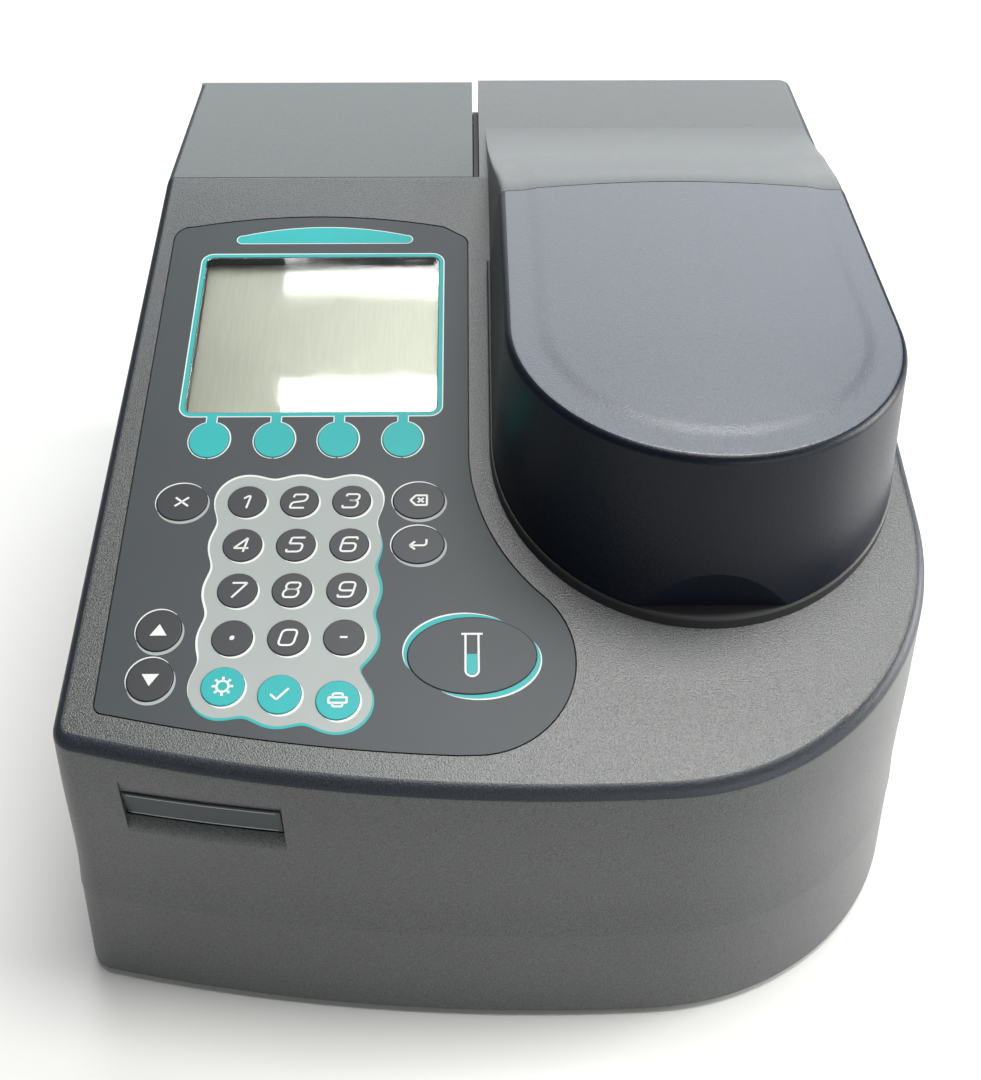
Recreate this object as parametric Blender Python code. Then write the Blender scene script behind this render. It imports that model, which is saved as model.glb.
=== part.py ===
"""Bench spectrophotometer with a sloped keypad deck, a hinged sample lid and a hinged accessory bay cover.

Every length below is in millimetres and every angle in degrees. X points to the right seen from the front,
Y to the rear and Z up. The origin is on the table, under the middle of the instrument.
"""

import math

import bmesh
import bpy
from mathutils import Matrix, Vector

MM = 0.001
GAP = 0.3

# Housing: plan outline at the table, wall draft and the two planes of its top.
WIDTH, DEPTH = 330.0, 408.0
HALF_WIDTH, HALF_DEPTH = WIDTH / 2, DEPTH / 2
DRAFT = 0.065
WALL = 3.0
HOUSING_FOOT = 2.5
CORNER_CENTRE, CORNER_RADIUS = (49.9, -86.8), 115.1
BOW_RADIUS, BOW_END_ANGLE = 781.8, 272.6
LEFT_CORNER_RADIUS = 13.0
REAR_CORNER_RADIUS = 6.0
DECK_FRONT = (-174.0, 127.6)
DECK_SLOPE = 15.8
BREAK_Y = 94.9
REAR_SLOPE = 2.46

# Raised bump on the right: its front is the sample lid and its rear is the cowl.
BUMP_X, BUMP_Y = 71.1, -56.3
BUMP_FOOT, BUMP_TOP = (77.3, 77.3), (72.3, 75.0)
LID_EDGE_Y, LID_EDGE_Z, LID_SLOPE = 46.0, 222.0, 3.3
CROWN = ((0.0, 0.0), (3.0, 0.0), (13.0, 0.9), (36.0, 2.1), (BUMP_TOP[0], 2.9))
LID_WALL = 3.0
LID_LIFT = 4.5
COLLAR_HEIGHT = 4.2
COLLAR_OUT, WELL_IN = 0.5, 5.8
COWL_END_Y = 149.0
LID_AXIS_Y, LID_AXIS_DROP, SEAM_BEHIND_AXIS = 34.5, 6.8, 8.5
LID_LUG_RADIUS = 3.4
SCOOP_Y, SCOOP_LEAN = -128.2, 13.5
PIN_RADIUS, PIN_BORE = 1.5, 1.85

# Sample compartment and the light path through it.
WELL_REAR_Y, WELL_FLOOR = 28.0, 100.0
TURRET_CENTRE, TURRET_RADIUS = (71.1, -45.0), 46.0
TURRET_BOTTOM, TURRET_TOP = 103.0, 133.0
CELL_RING, CELL_SIZE, CELL_FLOOR = 38.0, 12.9, 106.0
BEAM_X, BEAM_Z = TURRET_CENTRE[0] - CELL_RING, 118.0
BENCH_TOP = 94.0
GRATING_Y = 150.0

# Accessory bay in the rear left corner.
BAY_FRONT_Y, BAY_RIGHT_X, BAY_LEDGE_Z = 95.5, -9.5, 190.0
COVER_RIGHT_X, COVER_GAP = -12.5, 0.5
COVER_AXIS_Y, COVER_NOSE = 197.5, 6.0
COVER_LUGS, LUG_WIDTH, COVER_LUG_RADIUS = (-121.0, -47.0), 7.0, 3.1
BAY_FLOOR = 150.0

# Control panel. U runs to the right from the middle plane, V up the slope from the deck's front edge.
PANEL_RECESS, OVERLAY_THICK = 1.3, 0.9
KEY_PROUD, KEY_DEPTH, KEY_CLEAR = 0.9, 3.4, 0.35
WINDOW = (-127.6, -27.3, 142.0, 228.8)
DIGIT_RADIUS, TEAL_RADIUS = 7.25, 7.5
DIGIT_COLUMNS = (-98.6, -78.9, -59.2)
DIGIT_ROWS = (98.3, 78.5, 58.8, 39.0)

# Rear panel and what it holds.
PANEL_Y, PANEL_THICK = 198.2, 2.5
FAN_CENTRE, FAN_SIZE, FAN_THICK = (90.0, 62.0), 60.0, 15.0
INLET_X, PORT_Z = -123.0, 40.0


def remove_all():
    for item in list(bpy.data.objects):
        bpy.data.objects.remove(item, do_unlink=True)


# ---------------------------------------------------------------- shape helpers


def new_object(name, build):
    """Makes an object of a bmesh whose points are in millimetres."""
    bmesh.ops.scale(build, vec=(MM, MM, MM), verts=build.verts)
    bmesh.ops.recalc_face_normals(build, faces=build.faces)
    mesh = bpy.data.meshes.new(name)
    build.to_mesh(mesh)
    build.free()
    item = bpy.data.objects.new(name, mesh)
    bpy.context.collection.objects.link(item)
    return item


def arc(centre, radii, start, end, steps):
    """Points of an elliptical arc, both ends included."""
    angles = [math.radians(start + (end - start) * k / steps) for k in range(steps + 1)]
    return [(centre[0] + radii[0] * math.cos(a), centre[1] + radii[1] * math.sin(a)) for a in angles]


def circle(centre, radius, steps=20):
    return arc(centre, (radius, radius), 0, 360, steps)[:-1]


def rectangle(low_x, high_x, low_y, high_y, radius=0.0, steps=3):
    if radius == 0.0:
        return [(low_x, low_y), (high_x, low_y), (high_x, high_y), (low_x, high_y)]
    r = (radius, radius)
    return (
        arc((high_x - radius, low_y + radius), r, -90, 0, steps)
        + arc((high_x - radius, high_y - radius), r, 0, 90, steps)
        + arc((low_x + radius, high_y - radius), r, 90, 180, steps)
        + arc((low_x + radius, low_y + radius), r, 180, 270, steps)
    )


def loft(name, rings):
    """Closed solid through rings of equal length, capped at both ends."""
    build = bmesh.new()
    loops = [[build.verts.new(point) for point in ring] for ring in rings]
    count = len(loops[0])
    for lower, upper in zip(loops, loops[1:]):
        for i in range(count):
            j = (i + 1) % count
            build.faces.new((lower[i], lower[j], upper[j], upper[i]))
    build.faces.new(list(reversed(loops[0])))
    build.faces.new(loops[-1])
    return new_object(name, build)


def prism(name, outline, bottom, top):
    """Upright prism between two heights, each a number or a function of Y."""
    low = bottom if callable(bottom) else (lambda y: bottom)
    high = top if callable(top) else (lambda y: top)
    return loft(name, [[(x, y, low(y)) for x, y in outline], [(x, y, high(y)) for x, y in outline]])


def block(name, low, high):
    return prism(name, rectangle(low[0], high[0], low[1], high[1]), low[2], high[2])


def cylinder_along(name, axis, centre, radius, low, high, steps=20):
    """Round bar along X, Y or Z; centre gives its two other coordinates."""
    rings = []
    for end in (low, high):
        if axis == "X":
            rings.append([(end, a, b) for a, b in circle(centre, radius, steps)])
        elif axis == "Y":
            rings.append([(b, end, a) for a, b in circle((centre[1], centre[0]), radius, steps)])
        else:
            rings.append([(a, b, end) for a, b in circle(centre, radius, steps)])
    return loft(name, rings)


def combine(item, tool, operation):
    """Applies a Boolean of two objects to the first and removes the second."""
    change = item.modifiers.new("cut", "BOOLEAN")
    change.operation = operation
    change.solver = "EXACT"
    change.object = tool
    depsgraph = bpy.context.evaluated_depsgraph_get()
    mesh = bpy.data.meshes.new_from_object(item.evaluated_get(depsgraph))
    item.modifiers.clear()
    item.data = mesh
    bpy.data.objects.remove(tool, do_unlink=True)
    return item


def cut(item, *tools):
    for tool in tools:
        combine(item, tool, "DIFFERENCE")
    return item


def join(item, *tools):
    for tool in tools:
        combine(item, tool, "UNION")
    return item


def slice_off(item, point, normal):
    """Removes what lies beyond a plane and closes the cut."""
    build = bmesh.new()
    build.from_mesh(item.data)
    everything = build.verts[:] + build.edges[:] + build.faces[:]
    place = Vector(point) * MM
    bmesh.ops.bisect_plane(build, geom=everything, plane_co=place, plane_no=normal, clear_outer=True)
    bmesh.ops.holes_fill(build, edges=[edge for edge in build.edges if edge.is_boundary])
    bmesh.ops.recalc_face_normals(build, faces=build.faces)
    build.to_mesh(item.data)
    build.free()


def set_origin(item, point):
    """Moves an object's origin onto its joint's axis without moving its shape."""
    place = Matrix.Translation(Vector(point) * MM)
    item.data.transform(place.inverted())
    item.matrix_world = place


def finish(item, name, material, smooth=35):
    item.name = name
    item.data.name = name
    item.data.materials.clear()
    item.data.materials.append(material)
    item.data.shade_smooth()
    item.data.set_sharp_from_angle(angle=math.radians(smooth))
    return item


def material(name, colour, roughness, metallic=0.0, alpha=1.0):
    made = bpy.data.materials.new(name)
    made.use_nodes = True
    shader = made.node_tree.nodes["Principled BSDF"]
    shader.inputs["Base Color"].default_value = (*colour, 1.0)
    shader.inputs["Roughness"].default_value = roughness
    shader.inputs["Metallic"].default_value = metallic
    shader.inputs["Alpha"].default_value = alpha
    return made


# ---------------------------------------------------------------- surfaces of the instrument


def slope(angle):
    return math.tan(math.radians(angle))


def deck_height(y):
    """Top of the housing: the sloped deck, then the nearly level rear."""
    if y <= BREAK_Y:
        return DECK_FRONT[1] + (y - DECK_FRONT[0]) * slope(DECK_SLOPE)
    return deck_height(BREAK_Y) + (y - BREAK_Y) * slope(REAR_SLOPE)


def lid_plane(y):
    return LID_EDGE_Z + (y - LID_EDGE_Y) * slope(LID_SLOPE)


def bump_height(y):
    """Top edge of the bump: the lid's plane, then the cowl easing down to the rear deck."""
    if y <= LID_EDGE_Y:
        return lid_plane(y)
    share = (y - LID_EDGE_Y) / (COWL_END_Y - LID_EDGE_Y)
    ease = share * share * (3 - 2 * share)
    return (1 - ease) * LID_EDGE_Z + ease * deck_height(y)


def crown(inset):
    """Height of the crowned top over its edge, at a distance inside that edge."""
    for (near, low), (far, high) in zip(CROWN, CROWN[1:]):
        if inset <= far:
            return low + (high - low) * max(inset - near, 0.0) / (far - near)
    return CROWN[-1][1]


def housing_outline(inset):
    """Plan of the housing, offset inwards everywhere but at the rear."""
    bow, corner = BOW_RADIUS - inset, CORNER_RADIUS - inset
    left = max(LEFT_CORNER_RADIUS - inset / 2, 3.0)
    lean = math.radians(BOW_END_ANGLE)
    reach = BOW_RADIUS - CORNER_RADIUS
    bow_centre = (CORNER_CENTRE[0] - reach * math.cos(lean), CORNER_CENTRE[1] - reach * math.sin(lean))
    left_x = inset - HALF_WIDTH + left
    left_y = bow_centre[1] - math.sqrt((bow - left) ** 2 - (left_x - bow_centre[0]) ** 2)
    meet = 360 + math.degrees(math.atan2(left_y - bow_centre[1], left_x - bow_centre[0]))
    rear = REAR_CORNER_RADIUS
    side = HALF_WIDTH - inset - rear
    return (
        arc((left_x, left_y), (left, left), 180, meet, 4)
        + arc(bow_centre, (bow, bow), meet, BOW_END_ANGLE, 10)[1:-1]
        + arc(CORNER_CENTRE, (corner, corner), BOW_END_ANGLE, 360, 12)
        + arc((side, HALF_DEPTH - rear), (rear, rear), 0, 90, 3)
        + arc((-side, HALF_DEPTH - rear), (rear, rear), 90, 180, 3)
    )


def housing_solid(name, inside, bottom, rear_inside=0.0):
    """Solid of the housing's shape, `inside` mm inside its outer surfaces."""
    tall = 240.0
    rings = []
    for z in (bottom, tall):
        outline = housing_outline(DRAFT * z + inside)
        rings.append([(x, min(y, HALF_DEPTH - rear_inside), z) for x, y in outline])
    item = loft(name, rings)
    for angle, point in ((DECK_SLOPE, DECK_FRONT), (REAR_SLOPE, (BREAK_Y, deck_height(BREAK_Y)))):
        turn = math.radians(angle)
        normal = Vector((0, -math.sin(turn), math.cos(turn)))
        slice_off(item, Vector((0, point[0], point[1])) - normal * inside, normal)
    return item


def bump_plan(inset, rear, share=0.0, steps=20):
    """U-shaped plan of the bump from its rear left end, round the front, to its rear right end."""
    half = BUMP_FOOT[0] + (BUMP_TOP[0] - BUMP_FOOT[0]) * share - inset
    reach = BUMP_FOOT[1] + (BUMP_TOP[1] - BUMP_FOOT[1]) * share - inset
    front = arc((BUMP_X, BUMP_Y), (half, reach), 180, 360, steps)
    return [(BUMP_X - half, rear)] + front + [(BUMP_X + half, rear)]


def bump_ring(inset, height, rear):
    """A ring of the bump's skin: its plan narrows from the deck to the top as its wall is drafted."""
    points = []
    for k, (x, y) in enumerate(bump_plan(inset, rear)):
        share = (height(y) - deck_height(y)) / (lid_plane(y) - deck_height(y))
        x, y = bump_plan(inset, rear, min(max(share, 0.0), 1.0))[k]
        points.append((x, y, height(y)))
    return points


def dome(name, rear, wall, lift):
    """Solid under the lid's skin in front of `rear`, `wall` mm inside it, from `lift` over the deck."""
    profile = [(wall, lambda y: deck_height(y) + lift)]
    for inset, fall in ((0.0, 3.0), (0.9, 0.9)):
        profile.append((wall + inset, lambda y, fall=fall: lid_plane(y) - wall - fall))
    for inset, rise in CROWN[1:-1]:
        profile.append((wall + inset, lambda y, rise=rise: lid_plane(y) - wall + rise))
    build = bmesh.new()
    rings = [[build.verts.new(p) for p in bump_ring(inset, height, rear)] for inset, height in profile]
    ridge = lid_plane(BUMP_Y) - wall + CROWN[-1][1]
    front = build.verts.new((BUMP_X, BUMP_Y, ridge))
    back = build.verts.new((BUMP_X, rear, lid_plane(rear) - wall + CROWN[-1][1]))
    for lower, upper in zip(rings, rings[1:]):
        for k in range(len(lower) - 1):
            build.faces.new((lower[k], lower[k + 1], upper[k + 1], upper[k]))
    last = rings[-1]
    build.faces.new((last[0], last[1], front, back))
    for k in range(1, len(last) - 2):
        build.faces.new((last[k], last[k + 1], front))
    build.faces.new((last[-2], last[-1], back, front))
    build.faces.new(rings[0])
    build.faces.new([ring[0] for ring in rings] + [back] + [ring[-1] for ring in reversed(rings)])
    return new_object(name, build)


def cowl_solid(name, start, wall, sink):
    """Solid of the cowl behind the lid, as cross sections from its front to where it melts into the deck."""
    stations = [start] + list(range(46, 141, 12)) + [COWL_END_Y]
    rings = []
    for y in stations:
        top = bump_height(y) - wall
        full = bump_height(LID_EDGE_Y) - deck_height(LID_EDGE_Y)
        share = min((bump_height(y) - deck_height(y)) / full, 1.0)
        foot = BUMP_FOOT[0] - wall
        rim = foot + (BUMP_TOP[0] - BUMP_FOOT[0]) * share
        right = [(foot, deck_height(y) - sink)]
        right += [(rim, top - 3 * share - 0.2), (rim - 0.9, top - 0.9 * share - 0.1)]
        right += [(rim - inset, top + rise * share) for inset, rise in CROWN[1:-1]]
        left = [(-x, z) for x, z in reversed(right)]
        section = right + [(0.0, top + CROWN[-1][1] * share)] + left
        rings.append([(BUMP_X + x, y, z) for x, z in section])
    return loft(name, rings)


def spindle(name, extra):
    """Round bar on the lid's hinge axis whose radius follows the crown, so that the seam runs straight."""
    axis = lid_axis()
    rings = []
    edge = BUMP_TOP[0]
    places = [inset - edge for inset, _ in CROWN] + [edge - inset for inset, _ in reversed(CROWN[:-1])]
    for x in [-edge - 12] + places + [edge + 12]:
        rise = LID_AXIS_DROP + crown(edge - abs(x)) + 0.46
        radius = math.hypot(SEAM_BEHIND_AXIS, rise) + extra
        rings.append([(BUMP_X + x, y, z) for y, z in circle(axis, radius, 28)])
    return loft(name, rings)


def lid_axis():
    return LID_AXIS_Y, bump_height(LID_AXIS_Y) - LID_AXIS_DROP


def cover_axis():
    return COVER_AXIS_Y, deck_height(COVER_AXIS_Y) - COVER_NOSE


# ---------------------------------------------------------------- control panel frame


def panel_frame():
    """Frame of the control panel: its third axis stands off the deck."""
    tilt = Matrix.Rotation(math.radians(DECK_SLOPE), 4, "X")
    return Matrix.Translation(Vector((0, *DECK_FRONT)) * MM) @ tilt


def on_panel(item):
    item.matrix_world = panel_frame()
    return item


def up_slope(y):
    return (y - DECK_FRONT[0]) / math.cos(math.radians(DECK_SLOPE))


def overlay_outline(grow):
    """Outline of the keypad overlay in U and V, grown outwards."""
    swell = 35.3 + grow
    plan = arc((-135.6, 57.0), (8.0 + grow, 8.0 + grow), 180, 105, 3)
    plan += arc((-81.3, -178.0), (248.8 + grow, 248.8 + grow), 102.5, 77.0, 8)
    plan += arc((-20.6, 54.0), (6.0 + grow, 6.0 + grow), 65, 0, 3)
    plan += arc((BUMP_X, BUMP_Y), (85.7 - grow, 88.1 - grow), 180, 226.2, 8)
    plan += arc((-12.5, -145.5), (swell, swell), 46.5, -92, 10)
    plan += arc((14.0, 536.0), (717.6 + grow, 717.6 + grow), 267.4, 257.9, 6)
    plan += arc((-139.6, -161.0), (4.0 + grow, 4.0 + grow), 257, 180, 2)
    return [(x, up_slope(y)) for x, y in reversed(plan)]


def key_table():
    """Every key: name, outline, centre in U and V."""
    keys = []
    for k, u in enumerate((-116.2, -90.8, -65.9, -40.7)):
        keys.append((f"key_soft_{k + 1}", arc((0, 0), (7.8, 8.75), 0, 360, 16)[:-1], (u, 128.2)))
    names = ("1", "2", "3", "4", "5", "6", "7", "8", "9", "point", "0", "minus")
    for k, name in enumerate(names):
        place = (DIGIT_COLUMNS[k % 3], DIGIT_ROWS[k // 3])
        keys.append((f"key_{name}", circle((0, 0), DIGIT_RADIUS, 16), place))
    for name, place in (("utility", (-100.0, 19.8)), ("test", (-80.2, 16.6)), ("print", (-60.1, 14.2))):
        keys.append((f"key_{name}", circle((0, 0), TEAL_RADIUS, 16), place))
    ovals = (
        ("esc", (9.5, 8.5), (-123.2, 98.3)),
        ("clear", (9.7, 8.4), (-33.8, 98.4)),
        ("enter", (9.7, 8.4), (-33.7, 78.3)),
        ("up", (8.0, 8.4), (-124.7, 42.2)),
        ("down", (8.0, 8.4), (-125.4, 22.7)),
    )
    for name, radii, place in ovals:
        keys.append((f"key_{name}", arc((0, 0), radii, 0, 360, 16)[:-1], place))
    keys.append(("key_sample", arc((0, 0), (22.7, 15.3), 0, 360, 24)[:-1], (-13.9, 31.4)))
    return keys


def grown(outline, amount):
    """An outline about its own centre, moved outwards."""
    result = []
    for u, v in outline:
        length = math.hypot(u, v)
        result.append((u * (1 + amount / length), v * (1 + amount / length)))
    return result


def moved(outline, place):
    return [(u + place[0], v + place[1]) for u, v in outline]


def keypad_overlay(dark):
    low = -PANEL_RECESS + GAP
    item = prism("overlay", overlay_outline(-0.35), low, low + OVERLAY_THICK)
    cut(item, prism("hole", rectangle(*WINDOW, 3.0), -5, 5))
    for _, outline, place in key_table():
        cut(item, prism("hole", moved(grown(outline, KEY_CLEAR), place), -5, 5))
    return finish(on_panel(item), "keypad_overlay", dark)


def key_caps(dark, teal):
    for name, outline, place in key_table():
        top = KEY_PROUD
        edge = grown(outline, -0.6)
        rings = [(outline, -KEY_DEPTH), (outline, top - 0.5), (edge, top)]
        item = loft(name, [[(u, v, h) for u, v in ring] for ring, h in rings])
        item.matrix_world = panel_frame() @ Matrix.Translation(Vector((*place, 0)) * MM)
        is_teal = "soft" in name or name in ("key_utility", "key_test", "key_print")
        finish(item, name, teal if is_teal else dark)


def lcd_window(glass):
    low_u, high_u, low_v, high_v = WINDOW
    outline = rectangle(low_u + 0.35, high_u - 0.35, low_v + 0.35, high_v - 0.35, 2.7)
    item = prism("window", outline, -PANEL_RECESS + GAP, -PANEL_RECESS + GAP + OVERLAY_THICK)
    return finish(on_panel(item), "lcd_window", glass)


def lcd_module(grey):
    low_u, high_u, low_v, high_v = WINDOW
    item = prism("lcd", rectangle(low_u - 6, high_u + 6, low_v - 5, high_v + 5, 1.5, 2), -12.0, -WALL - 0.5)
    return finish(on_panel(item), "lcd_module", grey)


def keypad_board(green):
    outline = [(-137, 2), (12, 2), (12, 56), (-18, 56), (-18, 134), (-137, 134)]
    return finish(on_panel(prism("board", outline, -8.0, -6.4)), "keypad_board", green)


# ---------------------------------------------------------------- housing


def hinge_lug(name, x_low, x_high, axis, radius, foot):
    """Upright lug with a rounded head on a hinge axis."""
    stem = block(name, (x_low, axis[0] - radius, foot), (x_high, axis[0] + radius, axis[1]))
    return join(stem, cylinder_along("head", "X", axis, radius, x_low, x_high, 16))


def upper_housing(grey):
    item = housing_solid("housing", 0.0, HOUSING_FOOT)
    front_of_cowl = LID_AXIS_Y + 0.4
    join(item, cowl_solid("cowl", front_of_cowl, 0.0, 6.0))
    collar_rear = front_of_cowl + 4
    collar = prism(
        "collar",
        bump_plan(-COLLAR_OUT, collar_rear),
        lambda y: deck_height(y) - 1.5,
        lambda y: deck_height(y) + COLLAR_HEIGHT,
    )
    join(item, collar)
    cut(item, housing_solid("inside", WALL, -5.0, rear_inside=WALL))
    cut(item, cowl_solid("cowl_inside", front_of_cowl - 4, LID_WALL, 0.6))
    cut(item, spindle("lid_sweep", 0.4))
    cut(item, prism("well", bump_plan(WELL_IN, WELL_REAR_Y), 90, 260))
    for x in (18.0, 118.2):
        join(item, hinge_lug("lug", x, x + 6, lid_axis(), LID_LUG_RADIUS, deck_height(LID_AXIS_Y) - 1))
    cut(item, cylinder_along("bore", "X", lid_axis(), PIN_BORE, 0, 142, 12))
    panel_cuts(item)
    bay_cuts(item)
    rear_cuts(item)
    return finish(item, "upper_housing", grey)


def panel_cuts(item):
    """Recess for the overlay, openings behind the display and the keys, and the badge recess."""
    cut(item, on_panel(prism("recess", overlay_outline(0.0), -PANEL_RECESS, 20)))
    low_u, high_u, low_v, high_v = WINDOW
    cut(item, on_panel(prism("lcd_hole", rectangle(low_u + 2, high_u - 2, low_v + 2, high_v - 2), -10, 5)))
    key_area = [(-135.5, 12.5), (-22, 2.5), (-22, 138), (-135.5, 138)]
    cut(item, on_panel(prism("key_hole", key_area, -20, 5)))
    oval = moved(arc((0, 0), (23.6, 16.2), 0, 360, 24)[:-1], (-13.9, 31.4))
    cut(item, on_panel(prism("oval_hole", oval, -20, 5)))
    cut(item, badge_solid("badge_recess", 0.0, 6.0, 1.8))


def badge_solid(name, shrink, proud, deep):
    """Slab that follows the bowed front wall, from `deep` under it to `proud` over it."""
    low_x, high_x, low_z, high_z = -134.5 + shrink, -78.5 - shrink, 87.5 + shrink, 112.5 - shrink
    steps = 6
    rings = []
    for z in (low_z, high_z):
        ring = []
        for offset, order in ((-proud, 1), (deep, -1)):
            line = [front_wall(low_x + (high_x - low_x) * k / steps, z, offset) for k in range(steps + 1)]
            ring += line[::order]
        rings.append([(x, y, z) for x, y in ring])
    return loft(name, rings)


def front_wall(x, z, offset):
    """Point in plan on the bowed front wall at a height, moved inwards by an offset."""
    lean = math.radians(BOW_END_ANGLE)
    reach = BOW_RADIUS - CORNER_RADIUS
    centre = (CORNER_CENTRE[0] - reach * math.cos(lean), CORNER_CENTRE[1] - reach * math.sin(lean))
    radius = BOW_RADIUS - DRAFT * z - offset
    return x, centre[1] - math.sqrt(radius**2 - (x - centre[0]) ** 2)


def badge_plate(dark):
    return finish(badge_solid("badge", 0.6, -0.6, 1.8 - GAP), "badge_plate", dark)


def bay_cuts(item):
    """Open corner under the bay cover, with two lugs for its hinge pin."""
    cut(item, block("corner", (-200, BAY_FRONT_Y, BAY_LEDGE_Z), (BAY_RIGHT_X, 230, 260)))
    for x in COVER_LUGS:
        axis = cover_axis()
        lug = cylinder_along("head", "X", axis, COVER_LUG_RADIUS, x, x + LUG_WIDTH, 16)
        join(lug, block("stem", (x, axis[0] - COVER_LUG_RADIUS, 176), (x + LUG_WIDTH, axis[0], axis[1])))
        join(item, join(lug, block("root", (x, axis[0] - 1, 176), (x + LUG_WIDTH, 202, 189))))
    cut(item, cylinder_along("bore", "X", cover_axis(), PIN_BORE, -149, -20, 12))


def rear_cuts(item):
    cut(item, block("rear_opening", (-140, 199, 12), (140, 210, 150)))


def base_pan(steel):
    outer, inner = WALL + 1.2, WALL + 2.7
    bottom, floor, rim = 4.3, 6.3, 16.0

    def ring(inset, z):
        return [(x, min(y, PANEL_Y - inset + outer - GAP), z) for x, y in housing_outline(DRAFT * z + inset)]

    item = loft("pan", [ring(outer, bottom), ring(outer, rim)])
    cut(item, loft("inside", [ring(inner, floor), ring(inner, rim + 5)]))
    return finish(item, "base_pan", steel)


def feet(rubber):
    places = {
        "front_left": (-132, -150),
        "front_right": (96, -142),
        "rear_left": (-132, 168),
        "rear_right": (132, 168),
    }
    profile = ((0.0, 8.0), (1.0, 9.0), (4.0, 9.5))
    for name, place in places.items():
        rings = [[(x, y, z) for x, y in circle(place, r, 16)] for z, r in profile]
        finish(loft("foot", rings), f"foot_{name}", rubber)


# ---------------------------------------------------------------- sample compartment


def sample_lid(grey):
    """Shell of the lid: its rear edge is rounded about the hinge axis, so it turns clear of the cowl."""
    rear = 60.0
    item = dome("lid", rear, 0.0, LID_LIFT)
    hollow = dome("hollow", rear + 5, LID_WALL, -12.0)
    cut(hollow, block("grip_pad", (38, -140, 100), (106, -121, 162)))
    cut(item, hollow)
    axis = lid_axis()
    behind = block("behind", (-20, axis[0], 130), (160, 90, 260))
    cut(item, cut(behind, spindle("nose", 0.0)))
    cut(item, grip_scoop())
    for x in (11.0, 126.0):
        ear = cylinder_along("ear", "X", axis, 4.4, x, x + 6, 16)
        join(item, join(ear, block("web", (x, axis[0] - 4, axis[1]), (x + 6, axis[0] + 4, axis[1] + 4.6))))
    cut(item, cylinder_along("bore", "X", axis, PIN_BORE, 5, 138, 12))
    set_origin(item, (BUMP_X, *axis))
    return finish(item, "sample_lid", grey)


def grip_scoop():
    """Slanted flat cut at the lid's foot, which leaves a lens-shaped finger recess in its round wall."""
    foot = deck_height(-131.0) + LID_LIFT
    tool = block("scoop", (-40, -30, -12), (40, 0, 40))
    lean = Matrix.Rotation(math.radians(SCOOP_LEAN), 4, "X")
    tool.matrix_world = Matrix.Translation(Vector((72.5, SCOOP_Y, foot)) * MM) @ lean
    return tool


def lid_hinge_pin(steel):
    item = cylinder_along("pin", "X", lid_axis(), PIN_RADIUS, 9.5, 133.5, 12)
    return finish(item, "lid_hinge_pin", steel)


def sample_well(black):
    """Light-tight tub under the lid, with windows for the beam and a hole for the turret's shaft."""
    wall = 2.5
    outer = bump_plan(WELL_IN + 0.3 - wall, WELL_REAR_Y + wall)
    item = prism("well", outer, WELL_FLOOR - wall, lambda y: deck_height(y) - 3.6)
    cut(item, prism("inside", bump_plan(WELL_IN + 0.3, WELL_REAR_Y - 0.3), WELL_FLOOR, 260))
    cut(item, block("window", (BEAM_X - 4, -130, BEAM_Z - 6), (BEAM_X + 4, 60, BEAM_Z + 6)))
    cut(item, cylinder_along("shaft_hole", "Z", TURRET_CENTRE, 4.0, 90, 104, 16))
    return finish(item, "sample_well", black)


def cell_turret(black):
    """Six-place cell carrier that turns on the motor's shaft."""
    cx, cy = TURRET_CENTRE
    item = cylinder_along("turret", "Z", TURRET_CENTRE, TURRET_RADIUS, TURRET_BOTTOM, TURRET_TOP, 36)
    profile = ((132, 9.0), (139, 8.0), (141, 6.5))
    join(item, loft("knob", [[(x, y, z) for x, y in circle(TURRET_CENTRE, r, 16)] for z, r in profile]))
    half = CELL_SIZE / 2
    for k in range(6):
        turn = Matrix.Translation(Vector((cx, cy, 0)) * MM) @ Matrix.Rotation(math.radians(60 * k), 4, "Z")
        slot = block("slot", (CELL_RING - half, -half, CELL_FLOOR), (CELL_RING + half, half, 150))
        slit = block("slit", (CELL_RING - 2.5, -40, BEAM_Z - 5), (CELL_RING + 2.5, 40, BEAM_Z + 5))
        for tool in (slot, slit):
            tool.matrix_world = turn
            cut(item, tool)
    cut(item, cylinder_along("bore", "Z", TURRET_CENTRE, 2.9, 95, 126, 12))
    set_origin(item, (cx, cy, TURRET_BOTTOM))
    return finish(item, "cell_turret", black)


def stepper(name, centre, half, bottom, top, shaft_radius, shaft_top, steel):
    """Square stepping motor with its shaft up."""
    x, y = centre
    item = prism("body", rectangle(x - half, x + half, y - half, y + half, half * 0.2, 2), bottom, top)
    join(item, cylinder_along("shaft", "Z", centre, shaft_radius, top - 2, shaft_top, 12))
    return finish(item, name, steel)


# ---------------------------------------------------------------- optics


def optical_bench(cast):
    item = block("plate", (4, 46, BENCH_TOP - 6), (140, 176, BENCH_TOP))
    join(item, block("slit_wall", (18, 46, BENCH_TOP - 1), (52, 50, 134)))
    join(item, block("lens_wall", (76, GRATING_Y - 16, BENCH_TOP - 1), (82, GRATING_Y + 16, 134)))
    for x in (6, 126):
        for y in (48, 162):
            join(item, block("leg", (x, y, 6.8), (x + 12, y + 12, BENCH_TOP - 3)))
    cut(item, block("slit", (BEAM_X - 1.2, 40, BEAM_Z - 6), (BEAM_X + 1.2, 60, BEAM_Z + 6)))
    cut(item, cylinder_along("lens_seat", "X", (GRATING_Y, BEAM_Z), 11.3, 70, 90, 24))
    cut(item, cylinder_along("shaft_hole", "Z", (BEAM_X, GRATING_Y), 3.5, 80, 100, 12))
    return finish(item, "optical_bench", cast)


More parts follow.
